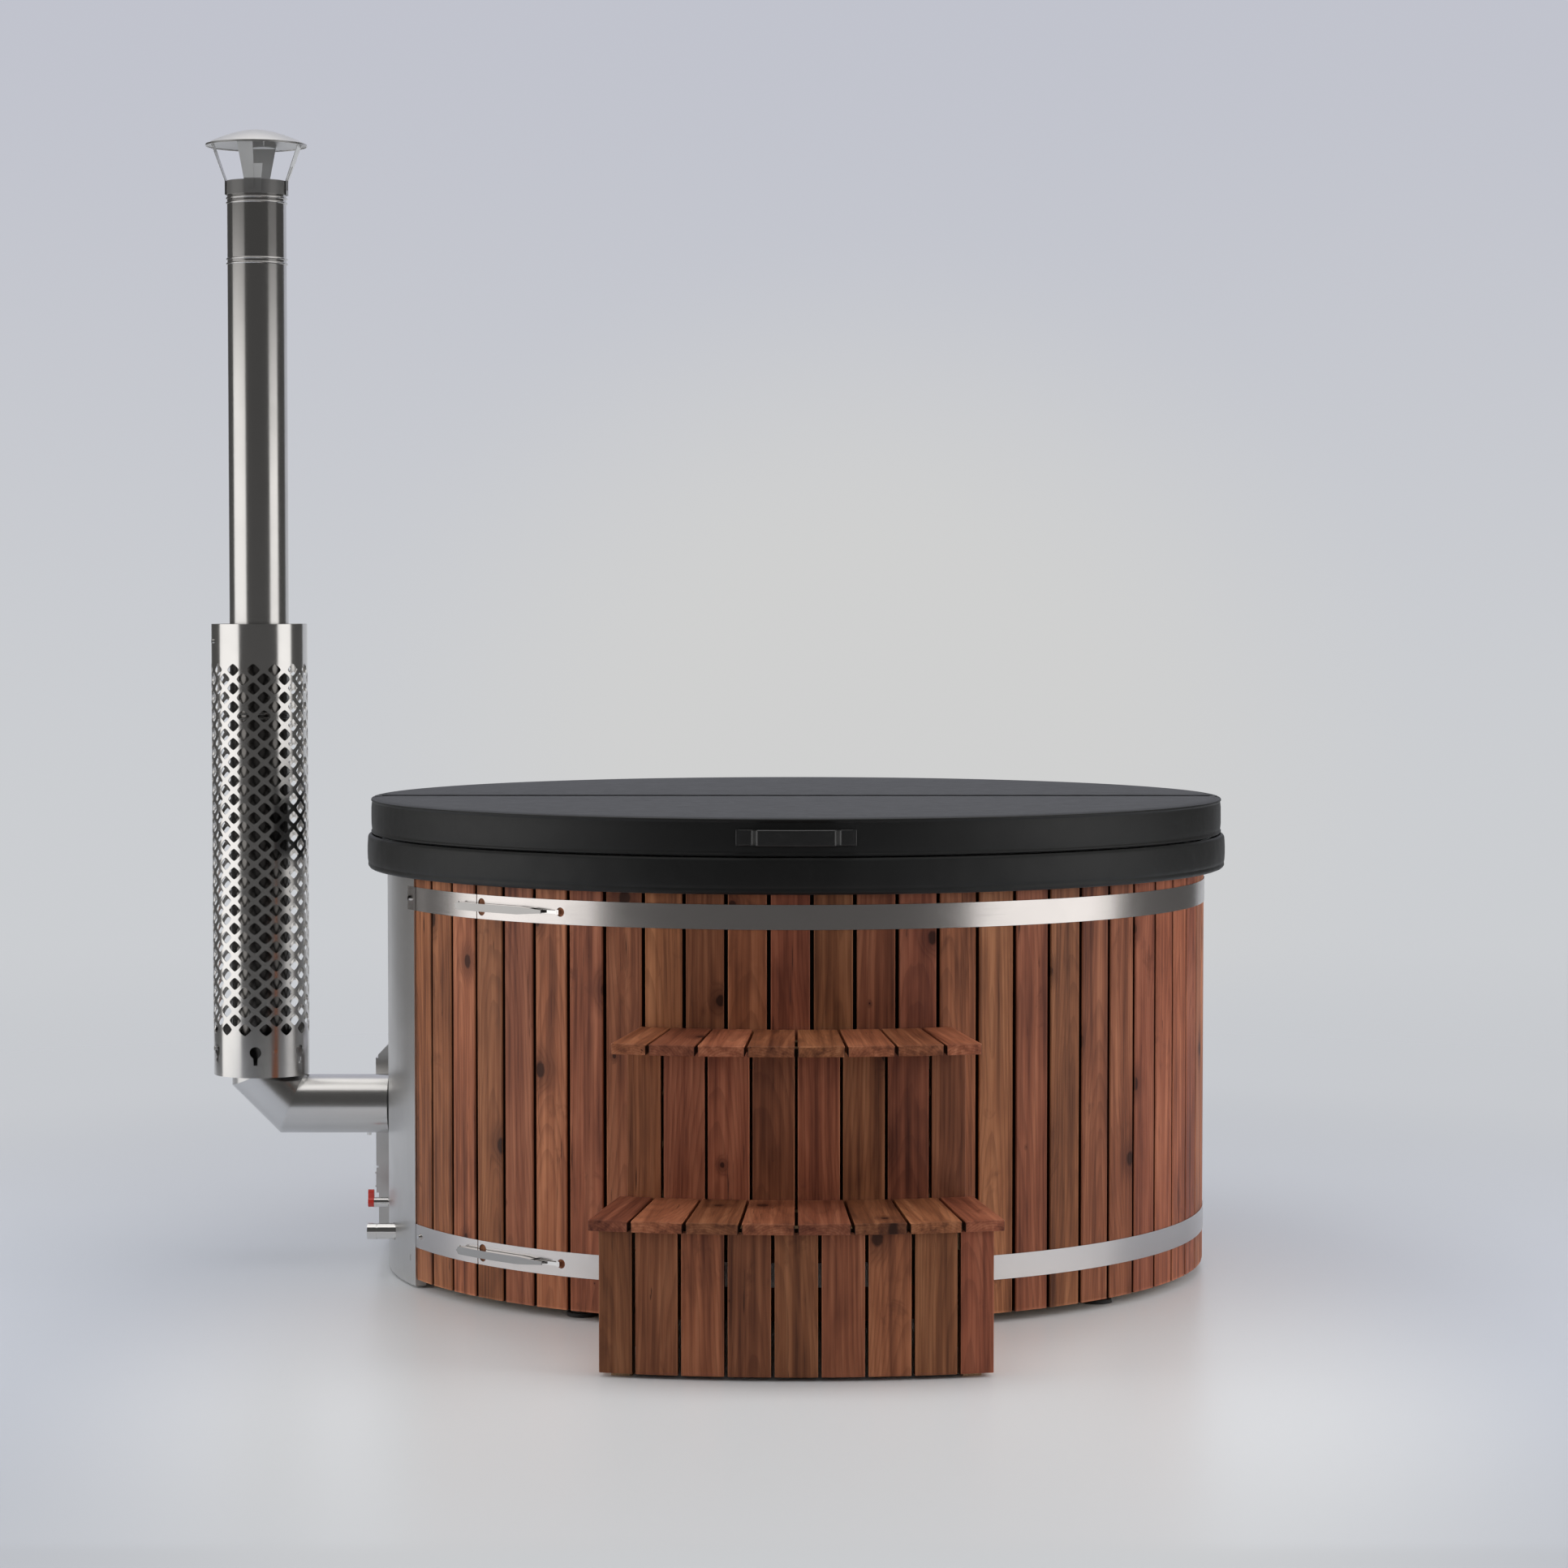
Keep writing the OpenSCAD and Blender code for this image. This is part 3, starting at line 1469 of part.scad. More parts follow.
module rain_cone() {
  r = cone_d / 2;
  color(steel)
    translate([stack_x, 0, 0])
      rotate_extrude()
        polygon(concat(
          [for (k = [0 : cone_rings])
            [r * k / cone_rings, cone_rim_z + cone_t + (cone_h - cone_t) * dome(k, cone_rings)]],
          [[r, cone_rim_z - cone_lip], [r - cone_t, cone_rim_z - cone_lip]],
          [for (k = [cone_rings : -1 : 0])
            [(r - cone_t) * k / cone_rings, cone_under((r - cone_t) * k / cone_rings)]]));
}

module heat_guard() {
  color(steel)
    translate([stack_x, 0, 0])
      tube(guard_r - guard_t, guard_r, guard_z, guard_z + guard_l);
}

module guard_brackets() {
  half_a = asin(bracket_w / 2 / flue_r);
  color(steel)
    translate([stack_x, 0, 0])
      for (z = [guard_z + bracket_rise, guard_z + guard_l - bracket_drop], k = [0 : 3])
        rotate([0, 0, bracket_a + k * 90]) {
          arc(flue_r, guard_r - guard_t, z - bracket_w / 2, z + bracket_w / 2, -half_a, half_a);
          at_polar(guard_r, 0, z) rotate([90, 0, 0]) cylinder(r = screw_r, h = screw_h);
        }
}

// Drain
module drain_pipe() {
  color(dark_steel) {
    difference() {
      union() {
        rod_x(-outlet_back - outlet_socket, -waste_x, drain_y, drain_z, drain_d / 2);
        translate([-waste_x, drain_y, panel_top + fit])
          cylinder(r = waste_r, h = basin_floor - panel_top);
        translate([-waste_x, drain_y, basin_floor]) cylinder(d = strainer_d, h = strainer_t);
      }
      rod_x(-outlet_back - outlet_socket - cut, -waste_x, drain_y, drain_z,
        drain_d / 2 - drain_wall);
      translate([-waste_x, drain_y, panel_top + fit + drain_wall])
        cylinder(r = waste_r - drain_wall, h = basin_floor - panel_top - drain_wall - fit);
      for (k = [0 : strainer_holes - 1])
        translate([-waste_x, drain_y, basin_floor - cut])
          rotate([0, 0, k * 360 / strainer_holes])
            translate([0, -waste_r * strainer_ring_share, 0])
              cylinder(r = strainer_hole_r, h = strainer_t + 2 * cut);
    }
  }
}

module drain_outlet() {
  color(steel)
    difference() {
      union() {
        rod_x(-outlet_x, -outlet_back, drain_y, drain_z, outlet_r - outlet_groove);
        rod_x(-outlet_x, -outlet_x + outlet_nose_l, drain_y, drain_z, outlet_r);
        rod_x(-outlet_groove_x, -outlet_back, drain_y, drain_z, outlet_r);
      }
      rod_x(-outlet_x - cut, -outlet_back + cut, drain_y, drain_z, drain_d / 2 - drain_wall);
      rod_x(-outlet_back - outlet_socket - fit, -outlet_back + cut, drain_y, drain_z,
        drain_d / 2);
    }
}

module valve_body() {
  seat_x = sqrt(pow(plate_out, 2) - pow(abs(valve_y) - valve_d / 2, 2)) + fit;
  color(steel)
    difference() {
      union() {
        rod_x(-valve_face, -seat_x, valve_y, valve_z, valve_d / 2);
        rod_x(-seat_x - 2 * fit, -valve_pipe_in, valve_y, valve_z, valve_pipe_d / 2);
      }
      rod_x(-valve_face - cut, -valve_face + valve_stem_l, valve_y, valve_z,
        valve_stem_d / 2 + run_gap);
    }
}

module valve_lever() {
  end_r = valve_lever_w / 2;
  end_z = valve_z + valve_lever_l - end_r;
  color(lever_red) {
    rod_x(-valve_x, -valve_x + valve_lever_t, valve_y, valve_z, valve_d / 2);
    rod_x(-valve_x, -valve_x + valve_lever_t, valve_y, end_z, end_r);
    block(-valve_x, -valve_x + valve_lever_t, valve_y - end_r, valve_y + end_r, valve_z, end_z);
    rod_x(-valve_x + valve_lever_t / 2, -valve_face + valve_stem_l - fit, valve_y, valve_z,
      valve_stem_d / 2);
  }
}

levelling_feet();
base_joists();
frame_rings();
floor_panel();
insulation();
frame_studs();
backing_membrane();
inner_shell();
bench_supports();
wall_staves();
heat_board();
stove_wall_plate();
band_long_pieces();
band_short_pieces();
band_bolts();
latch_bases();
latch_pivot_pins();
latch_lever(band_mids[0], false);  // upper_latch_lever
latch_hook(band_mids[0]);  // upper_latch_hook
latch_lever(band_mids[1], true);  // lower_latch_lever
latch_hook(band_mids[1]);  // lower_latch_hook
lid_jacket(1);  // lid_rear_jacket
lid_core(1);  // lid_rear_core
lid_skirt(1);  // lid_rear_skirt
lid_flap(1);  // lid_rear_flap
lid_handle(1);  // lid_rear_handle
lid_jacket(-1);  // lid_front_jacket
lid_core(-1);  // lid_front_core
lid_skirt(-1);  // lid_front_skirt
lid_flap(-1);  // lid_front_flap
lid_handle(-1);  // lid_front_handle
steps_lower_treads();
steps_upper_treads();
steps_lower_risers();
steps_upper_risers();
steps_side_boards();
steps_frame();
firebox();
grate();
stove_door_frame();
stove_door();
door_hinge_pins();
door_gasket();
door_handle();
ash_drawer();
air_slide();
stove_fence();
flue_elbow();
chimney_lower_pipe();
chimney_upper_pipe();
chimney_top_pipe();
cap_bracket();
rain_cone();
heat_guard();
guard_brackets();
drain_pipe();
drain_outlet();
valve_body();
valve_lever();
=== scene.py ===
import json
import math
import random

import bmesh
import bpy
import numpy as np
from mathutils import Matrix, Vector, noise

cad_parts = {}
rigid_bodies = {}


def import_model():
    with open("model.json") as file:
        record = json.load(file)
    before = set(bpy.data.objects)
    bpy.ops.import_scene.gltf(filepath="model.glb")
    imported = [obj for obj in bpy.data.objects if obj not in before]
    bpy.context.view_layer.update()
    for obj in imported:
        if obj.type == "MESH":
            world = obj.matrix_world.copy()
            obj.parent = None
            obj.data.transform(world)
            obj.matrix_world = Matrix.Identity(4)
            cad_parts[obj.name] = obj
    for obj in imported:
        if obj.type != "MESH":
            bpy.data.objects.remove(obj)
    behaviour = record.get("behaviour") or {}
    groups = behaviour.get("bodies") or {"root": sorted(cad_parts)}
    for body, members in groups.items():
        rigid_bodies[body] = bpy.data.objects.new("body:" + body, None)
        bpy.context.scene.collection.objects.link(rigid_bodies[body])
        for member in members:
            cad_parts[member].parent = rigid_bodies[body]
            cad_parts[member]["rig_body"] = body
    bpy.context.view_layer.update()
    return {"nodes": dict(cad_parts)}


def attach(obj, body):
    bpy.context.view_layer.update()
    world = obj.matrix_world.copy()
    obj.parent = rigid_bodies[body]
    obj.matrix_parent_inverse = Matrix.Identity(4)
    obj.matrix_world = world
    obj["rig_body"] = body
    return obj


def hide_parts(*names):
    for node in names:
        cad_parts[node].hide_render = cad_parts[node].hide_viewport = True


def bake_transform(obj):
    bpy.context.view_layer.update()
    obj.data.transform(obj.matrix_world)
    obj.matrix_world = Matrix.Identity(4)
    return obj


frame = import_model()
NODES = frame["nodes"]
scene = bpy.context.scene

# Real sizes in metres, as in the CAD frame

PAD_R = 0.9375
PAD_LOW = 0.955
PAD_TOP = 1.034
FOLD_GAP = 0.0005
SKIRT_MID_R = 0.9375
SKIRT_LOW = 0.8807
SKIRT_TOP = 0.9547
SKIRT_HALF = 0.0078
FLAP_HALF = 0.030
FLAP_REACH = 0.915
STRAP_Z = 0.9945
STRAP_OUT_R = 0.9580
STEP_FOCUS = Vector((0, 1.2, 0))
STACK_X = -1.1883
STACK_Y = 0.0
GUARD_R = 0.10475
GUARD_T = 0.0014
GUARD_LOW = 0.415
GUARD_TOP = 1.413
GUARD_COLS = 14
GUARD_ROWS = 40
GUARD_PITCH = 0.0203
GUARD_FIRST = 0.106
HOLE_HALF_W = 0.0146
HOLE_HALF_H = 0.0134
HOLE_POWER = 1.55
KEYHOLES = 6
KEYHOLE_Z = GUARD_LOW + 0.056
KEYHOLE_R = 0.0130
KEYHOLE_NECK = 0.0123
KEYHOLE_DROP = 0.028
KEYHOLE_SLOT = 0.0046
KEYHOLE_SPAN = 10


# Node material helper

class Shader:
    """One node material. Inputs are given as values or as sockets to link."""

    def __init__(self, name):
        self.mat = bpy.data.materials.new(name)
        self.mat.use_nodes = True
        self.tree = self.mat.node_tree
        self.tree.nodes.clear()
        self.out = self.tree.nodes.new("ShaderNodeOutputMaterial")
        self.bsdf = self.tree.nodes.new("ShaderNodeBsdfPrincipled")
        self.tree.links.new(self.bsdf.outputs[0], self.out.inputs["Surface"])

    def put(self, socket, value):
        if isinstance(value, bpy.types.NodeSocket):
            self.tree.links.new(value, socket)
        elif hasattr(socket.default_value, "__len__"):
            size = len(socket.default_value)
            value = list(value) if hasattr(value, "__len__") else [value] * size
            socket.default_value = (value + [1.0] * size)[:size]
        else:
            socket.default_value = value

    def node(self, kind, inputs, **props):
        made = self.tree.nodes.new("ShaderNode" + kind)
        for key, value in props.items():
            setattr(made, key, value)
        for key, value in inputs.items():
            self.put(made.inputs[key], value)
        return made

    def math(self, what, a, b=0.0):
        return self.node("Math", {0: a, 1: b}, operation=what).outputs[0]

    def vec(self, what, a, b=(0, 0, 0)):
        made = self.node("VectorMath", {0: a, 1: b}, operation=what)
        return made.outputs["Value" if what in ("LENGTH", "DOT_PRODUCT") else "Vector"]

    def attr(self, name, out):
        made = self.node("Attribute", {}, attribute_name=name, attribute_type="GEOMETRY")
        return made.outputs[out]

    def spot(self):
        return self.node("TexCoord", {}).outputs["Object"]

    def noise(self, vector, scale=1.0, detail=2.0, rough=0.5, warp=0.0, out="Fac"):
        inputs = {"Vector": vector, "Scale": scale, "Detail": detail,
                  "Roughness": rough, "Distortion": warp}
        return self.node("TexNoise", inputs).outputs[out]

    def span(self, value, a, b, c=0.0, d=1.0):
        inputs = {"Value": value, "From Min": a, "From Max": b, "To Min": c, "To Max": d}
        made = self.node("MapRange", inputs, interpolation_type="SMOOTHSTEP")
        return made.outputs[0]

    def mix(self, share, a, b):
        return self.node("Mix", {0: share, 6: a, 7: b}, data_type="RGBA").outputs[2]

    def ramp(self, value, stops):
        made = self.node("ValToRGB", {0: value})
        for k, (place, colour) in enumerate(stops):
            points = made.color_ramp.elements
            point = points[k] if k < 2 else points.new(place)
            point.position = place
            point.color = (*colour, 1)
        return made.outputs[0]

    def parts(self, vector):
        return self.node("SeparateXYZ", {0: vector}).outputs

    def join(self, x=0.0, y=0.0, z=0.0):
        return self.node("CombineXYZ", {0: x, 1: y, 2: z}).outputs[0]

    def bump(self, height, distance, strength=1.0, under=None):
        inputs = {"Height": height, "Distance": distance, "Strength": strength}
        if under is not None:
            inputs["Normal"] = under
        return self.node("Bump", inputs).outputs[0]

    def finish(self, **sockets):
        for key, value in sockets.items():
            self.put(self.bsdf.inputs[key.replace("_", " ")], value)
        return self.mat


# Materials

def wood(name, pale, middle, dark, rough=0.46, knots=0.58, spread=(0.80, 1.16)):
    """Planed softwood: growth rings seen flat, knots, fibres and a tone for each board.
    grain holds each point's place across, through and along its board, in metres."""
    s = Shader(name)
    g = s.attr("grain", "Vector")
    seed = s.attr("seed", "Fac")
    tone = s.attr("tone", "Fac")
    # place runs from -1 to 1 across, through and along the board: a painted highlight lightens the
    # outer edges, and painted shade darkens the sides down in the gaps
    place_in = s.attr("place", "Vector")
    px, _, pz = s.parts(s.vec("ABSOLUTE", place_in))
    face = s.parts(place_in)[1]
    edge_highlight = s.math("MAXIMUM", s.span(px, 0.945, 0.985), s.span(pz, 0.988, 0.999))
    edge_highlight = s.math("MULTIPLY", edge_highlight, s.span(face, 0.80, 0.92))
    # painted shade: the sides of each board, down in the gaps, are darkened
    gap = s.math("MULTIPLY", s.span(px, 0.965, 0.985), s.span(face, 0.90, 0.55))
    u, v, w = s.parts(g)
    own = s.vec("ADD", g, s.join(s.math("MULTIPLY", seed, 13.0), 0.0,
                                 s.math("MULTIPLY", seed, 41.0)))
    # Knots sit in stretched cells, and many cells hold none
    cell_u, cell_w = 0.105, 0.31
    ku, _, kw = s.parts(own)
    spot = s.join(s.math("DIVIDE", ku, cell_u), s.math("DIVIDE", kw, cell_w))
    cells = s.node("TexVoronoi", {"Vector": spot, "Scale": 1.0, "Randomness": 0.85},
                   voronoi_dimensions="2D")
    away = s.vec("MULTIPLY", s.vec("SUBTRACT", spot, cells.outputs["Position"]),
                 (cell_u, cell_w * 0.72, 0))
    wobble = s.noise(own, 45.0, 3.0, 0.6)
    far = s.math("ADD", s.vec("LENGTH", away),
                 s.math("MULTIPLY", s.math("SUBTRACT", wobble, 0.5), 0.008))
    draw = s.parts(cells.outputs["Color"])[0]
    size = s.span(draw, knots, 1.0, 0.0, 0.0145)
    rel = s.math("DIVIDE", far, s.math("MAXIMUM", size, 0.0004))
    there = s.span(draw, knots, knots + 0.04)
    core = s.math("MULTIPLY", s.span(rel, 1.0, 0.62), there)
    halo = s.math("MULTIPLY", s.span(rel, 3.6, 0.9), there)
    # Growth rings: distance from the log's heart, bent round the knots
    slow = s.noise(s.vec("MULTIPLY", own, (5.0, 5.0, 1.3)), 1.0, 2.0, 0.5, out="Color")
    sx, sy, _ = s.parts(slow)
    ru = s.math("ADD", u, s.math("MULTIPLY", s.math("SUBTRACT", sx, 0.5), 0.05))
    rv = s.math("ADD", s.math("ADD", v, s.math("MULTIPLY", w, 0.035)),
                s.math("MULTIPLY", s.math("SUBTRACT", sy, 0.5), 0.06))
    ring = s.vec("LENGTH", s.join(ru, rv))
    ring = s.math("ADD", ring, s.math("MULTIPLY", s.math("MULTIPLY", halo, halo), 0.010))
    ring = s.math("ADD", s.math("DIVIDE", ring, 0.0052),
                  s.math("MULTIPLY", s.noise(s.vec("MULTIPLY", own, (60, 60, 2.5)), 1.0), 0.5))
    turn = s.math("FRACT", ring)
    late = s.math("MULTIPLY", s.span(turn, 0.35, 0.88), s.span(turn, 1.0, 0.93))
    # Short checks that follow the grain, and smudges where the stain took deeper
    split = s.noise(s.vec("MULTIPLY", own, (150, 150, 5.5)), 1.0, 3.0, 0.6, 0.8)
    place = s.noise(s.vec("MULTIPLY", own, (9, 9, 5)), 1.0, 1.0)
    check = s.math("MULTIPLY", s.span(split, 0.655, 0.70), s.span(place, 0.52, 0.60))
    smudge = s.math("MULTIPLY", s.span(s.noise(s.vec("MULTIPLY", own, (14, 14, 7)), 1.0, 4.0, 0.65,
                                               0.9), 0.55, 0.74),
                    s.span(s.noise(own, 3.4, 1.0), 0.44, 0.60))
    # Fibres and broad streaks along the board
    fibre = s.noise(s.vec("MULTIPLY", own, (900, 900, 14)), 1.0, 3.0, 0.62)
    streak = s.noise(s.vec("MULTIPLY", own, (75, 75, 1.7)), 1.0, 4.0, 0.6)
    patch = s.noise(s.vec("MULTIPLY", own, (11, 11, 3.2)), 1.0, 3.0, 0.55, 0.4)
    colour = s.ramp(s.math("ADD", s.math("MULTIPLY", streak, 0.62),
                           s.math("MULTIPLY", patch, 0.38)),
                    [(0.33, dark), (0.67, pale), (0.50, middle)])
    deep = tuple(0.55 * c for c in dark)
    colour = s.mix(s.math("MULTIPLY", late, 0.26), colour, dark)
    colour = s.mix(s.span(fibre, 0.56, 0.80, 0.0, 0.50), colour, deep)
    colour = s.mix(s.math("MULTIPLY", halo, 0.60), colour, dark)
    colour = s.mix(s.math("MULTIPLY", smudge, 0.62), colour, dark)
    colour = s.mix(s.math("MULTIPLY", check, 0.85), colour, tuple(0.25 * c for c in dark))
    colour = s.mix(s.math("MULTIPLY", core, 0.88), colour, tuple(0.30 * c for c in dark))
    # painted highlight: the outer edges are mixed towards a paler copy of the wood
    edge_highlight = s.math("MULTIPLY", edge_highlight, s.span(streak, 0.30, 0.60, 0.10, 0.55))
    colour = s.mix(edge_highlight, colour, tuple(min(1, 1.30 * c) for c in pale))
    # painted shade in the gaps between boards
    colour = s.mix(s.math("MULTIPLY", gap, 0.93), colour, tuple(0.10 * c for c in dark))
    colour = s.node("HueSaturation", {
        "Hue": s.math("ADD", 0.492, s.math("MULTIPLY", seed, 0.016)),
        "Saturation": 1.0, "Value": s.span(tone, 0.0, 1.0, *spread), "Color": colour,
    }).outputs[0]
    height = s.math("ADD", s.math("MULTIPLY", late, 0.35), s.math("MULTIPLY", fibre, 0.65))
    height = s.math("SUBTRACT", height, s.math("MULTIPLY", check, 1.5))
    return s.finish(
        Base_Color=colour,
        Roughness=s.math("ADD", rough - 0.08, s.math("MULTIPLY", fibre, 0.2)),
        Specular_IOR_Level=0.20, Normal=s.bump(height, 0.00045, 0.8),
    )


def steel(name, colour, rough, lines=0.10, wave=0.0, around=(0, 0), stretch=(3, 900), aniso=0.0,
          shade_band=None, share=0.88, metallic=1.0):
    """Stainless sheet. Fine lines run round the axis at around, and the sheet waves a little."""
    s = Shader(name)
    x, y, z = s.parts(s.spot())
    dx, dy = s.math("SUBTRACT", x, around[0]), s.math("SUBTRACT", y, around[1])
    turn = s.math("ARCTAN2", dy, dx)
    brush = s.noise(s.join(s.math("MULTIPLY", turn, stretch[0]),
                           s.math("MULTIPLY", z, stretch[1])), 1.0, 3.0, 0.7)
    smear = s.noise(s.spot(), 7.0, 3.0, 0.55, 0.6)
    tint = s.mix(s.span(smear, 0.35, 0.75, 0.0, 0.16), colour,
                 tuple(0.72 * c for c in colour))
    normal = s.bump(brush, 0.00003, 0.5)
    if wave:
        normal = s.bump(s.noise(s.spot(), 5.0, 1.0, 0.4), wave, 1.0, normal)
    level = s.math("ADD", s.math("MULTIPLY", s.math("SUBTRACT", brush, 0.5), lines),
                   s.math("MULTIPLY", s.math("SUBTRACT", smear, 0.5), 0.10))
    # painted shade: past a given height the sheet is painted dark, where it stands in shade
    if shade_band:
        tint = s.mix(s.span(z, *shade_band, 0.0, share), tint, (0.085, 0.080, 0.075, 1))
    return s.finish(Base_Color=tint, Metallic=metallic, Anisotropic=aniso,
                    Roughness=s.math("ADD", rough, level), Normal=normal)


def leatherette(name, colour, rough=0.5, grain=850.0, depth=0.00010, level=0.5):
    """Coated cover fabric: pebbled grain, soft creases and slightly dusty high spots."""
    s = Shader(name)
    p = s.spot()
    pebble = s.node("TexVoronoi", {"Vector": p, "Scale": grain, "Randomness": 1.0},
                    feature="SMOOTH_F1").outputs["Distance"]
    crease = s.noise(p, 22.0, 4.0, 0.6, 1.2)
    cloud = s.noise(p, 2.4, 3.0, 0.55)
    tint = s.mix(s.span(cloud, 0.3, 0.7, 0.0, 1.0), colour, tuple(1.35 * c for c in colour))
    tint = s.mix(s.span(crease, 0.58, 0.75, 0.0, 0.35), tint, tuple(1.9 * c for c in colour))
    normal = s.bump(crease, 0.0006, 0.35)
    return s.finish(
        Base_Color=tint,
        Roughness=s.math("ADD", rough - 0.06, s.math("MULTIPLY", crease, 0.14)),
        Specular_IOR_Level=level,
        Normal=s.bump(pebble, depth, 0.9, normal),
    )


def plain(name, colour, other, rough, scale, spots=0.0, depth=0.0, metal=0.0, **more):
    """A mottled coat, cast or moulded surface."""
    s = Shader(name)
    p = s.spot()
    cloud = s.noise(p, scale, 4.0, 0.6, 0.3)
    fine = s.noise(p, scale * 24, 3.0, 0.6)
    tint = s.mix(s.span(cloud, 0.32, 0.70), colour, other)
    if spots:
        tint = s.mix(s.span(fine, 0.60, 0.74, 0.0, spots), tint, tuple(0.5 * c for c in other))
    return s.finish(
        Base_Color=tint, Metallic=metal,
        Roughness=s.math("ADD", rough - 0.05, s.math("MULTIPLY", fine, 0.10)),
        Normal=s.bump(fine, depth or 0.00004, 0.6), **more,
    )


STAINED = wood("stained_boards", (0.440, 0.170, 0.082), (0.272, 0.090, 0.041),
               (0.082, 0.023, 0.0110), spread=(0.74, 1.20))
PLAIN_WOOD = wood("plain_boards", (0.66, 0.47, 0.29), (0.55, 0.37, 0.21), (0.33, 0.19, 0.10),
                  0.6, 0.66)
PLY = wood("plywood_faces", (0.70, 0.56, 0.38), (0.60, 0.46, 0.30), (0.42, 0.29, 0.17),
           0.62, 0.9)
BAND_STEEL = steel("band_steel", (0.66, 0.625, 0.61), 0.22, 0.12, 0.0, aniso=0.35)
PLATE_STEEL = steel("plate_steel", (0.70, 0.69, 0.68), 0.34, 0.06, 0.0)
PIPE_STEEL = steel("pipe_steel", (0.62, 0.61, 0.60), 0.15, 0.05, 0.0006,
                   around=(STACK_X, STACK_Y), stretch=(2, 500))
GUARD_STEEL = steel("guard_steel", (0.66, 0.65, 0.64), 0.17, 0.05, 0.0008,
                    around=(STACK_X, STACK_Y), stretch=(2, 500))
# painted shade: the lower chimney pipes are painted dark below 1.30 m, inside the heat guard
SHADED_PIPE_STEEL = steel("shaded_pipe_steel", (0.62, 0.61, 0.60), 0.20, 0.05, 0.0006,
                     around=(STACK_X, STACK_Y), stretch=(2, 500), shade_band=(1.40, 1.30))
CONE_STEEL = steel("cone_steel", (0.66, 0.655, 0.65), 0.36, 0.06, 0.0,
                   around=(STACK_X, STACK_Y), stretch=(2, 300))
# painted shade: the cap bracket's collar, below 2.386 m, is painted dark
CAP_STEEL = steel("cap_steel", (0.72, 0.72, 0.71), 0.30, 0.06, 0.0,
                  around=(STACK_X, STACK_Y), stretch=(2, 300), shade_band=(2.390, 2.386),
                  share=0.80, metallic=0.55)
# painted shade: the elbow is painted dark above 0.43 m, where it runs up inside the heat guard
ELBOW_STEEL = steel("elbow_steel", (0.68, 0.67, 0.66), 0.24, 0.10, 0.0006, stretch=(2, 700),
                    shade_band=(0.41, 0.43))
# painted shade: the latch levers are polished steel painted darker, so that they read as shaded
# against the band
SHADED_LEVER_STEEL = steel("shaded_lever_steel", (0.34, 0.335, 0.33), 0.08, 0.04, 0.0)
POLISHED = steel("polished_fittings", (0.78, 0.77, 0.76), 0.09, 0.04, 0.0)
COVER = leatherette("cover_leatherette", (0.0088, 0.0090, 0.0089), 0.48, level=0.29)
STRAP = leatherette("strap_webbing", (0.015, 0.015, 0.015), 0.30, 600.0, 0.00006, 0.6)
MEMBRANE = plain("membrane_black", (0.006, 0.006, 0.006), (0.012, 0.011, 0.010), 0.8, 9.0)
RUBBER = plain("foot_rubber", (0.018, 0.018, 0.018), (0.030, 0.029, 0.028), 0.75, 14.0)
SHELL = plain("moulded_shell", (0.70, 0.73, 0.76), (0.60, 0.64, 0.68), 0.16, 3.0, 0.35,
              0.00003, Coat_Weight=0.4, Coat_Roughness=0.06)
STOVE = plain("stove_black", (0.030, 0.030, 0.030), (0.050, 0.048, 0.046), 0.55, 8.0, 0.3,
              0.0001)
IRON = plain("grate_iron", (0.09, 0.088, 0.085), (0.13, 0.10, 0.08), 0.62, 12.0, 0.4,
             0.0002, 0.6)
FOAM = plain("foam_block", (0.80, 0.77, 0.66), (0.86, 0.84, 0.76), 0.9, 20.0, 0.2, 0.0004)
BOARD = plain("heat_board", (0.72, 0.71, 0.67), (0.80, 0.79, 0.74), 0.9, 16.0, 0.2, 0.0003)
ROPE = plain("gasket_rope", (0.50, 0.48, 0.43), (0.62, 0.60, 0.55), 0.9, 60.0, 0.4, 0.0005)
RED = plain("lever_red", (0.62, 0.035, 0.020), (0.50, 0.022, 0.014), 0.24, 30.0, 0.0,
            0.00002, Coat_Weight=0.5, Coat_Roughness=0.1)


# Mesh helpers

def put_down(name, bm, material):
    """Turns bm into an object of its own, smooth all over."""
    mesh = bpy.data.meshes.new(name)
    bmesh.ops.recalc_face_normals(bm, faces=bm.faces)
    for face in bm.faces:
        face.smooth = True
    bm.to_mesh(mesh)
    bm.free()
    piece = bpy.data.objects.new(name, mesh)
    scene.collection.objects.link(piece)
    mesh.materials.append(material)
    return piece


def new_piece(name, bm, material, body, weigh=True):
    """A piece that rides its body and stands in a material slot."""
    piece = put_down(name, bm, material)
    if weigh:
        made = piece.modifiers.new("weights", "WEIGHTED_NORMAL")
        made.keep_sharp = True
    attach(piece, body)
    return piece


SHARP_DEG = 30.0


def skin(bm, first, second):
    """Faces between two closed rows of as many vertices."""
    for k in range(len(first)):
        j = (k + 1) % len(first)
        bm.faces.new((first[k], first[j], second[j], second[k]))


def cap(bm, first, last):
    """Closes both ends of a run of closed rows."""
    bm.faces.new(first)
    bm.faces.new(list(reversed(last)))


def body_of(node):
    return NODES[node]["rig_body"]


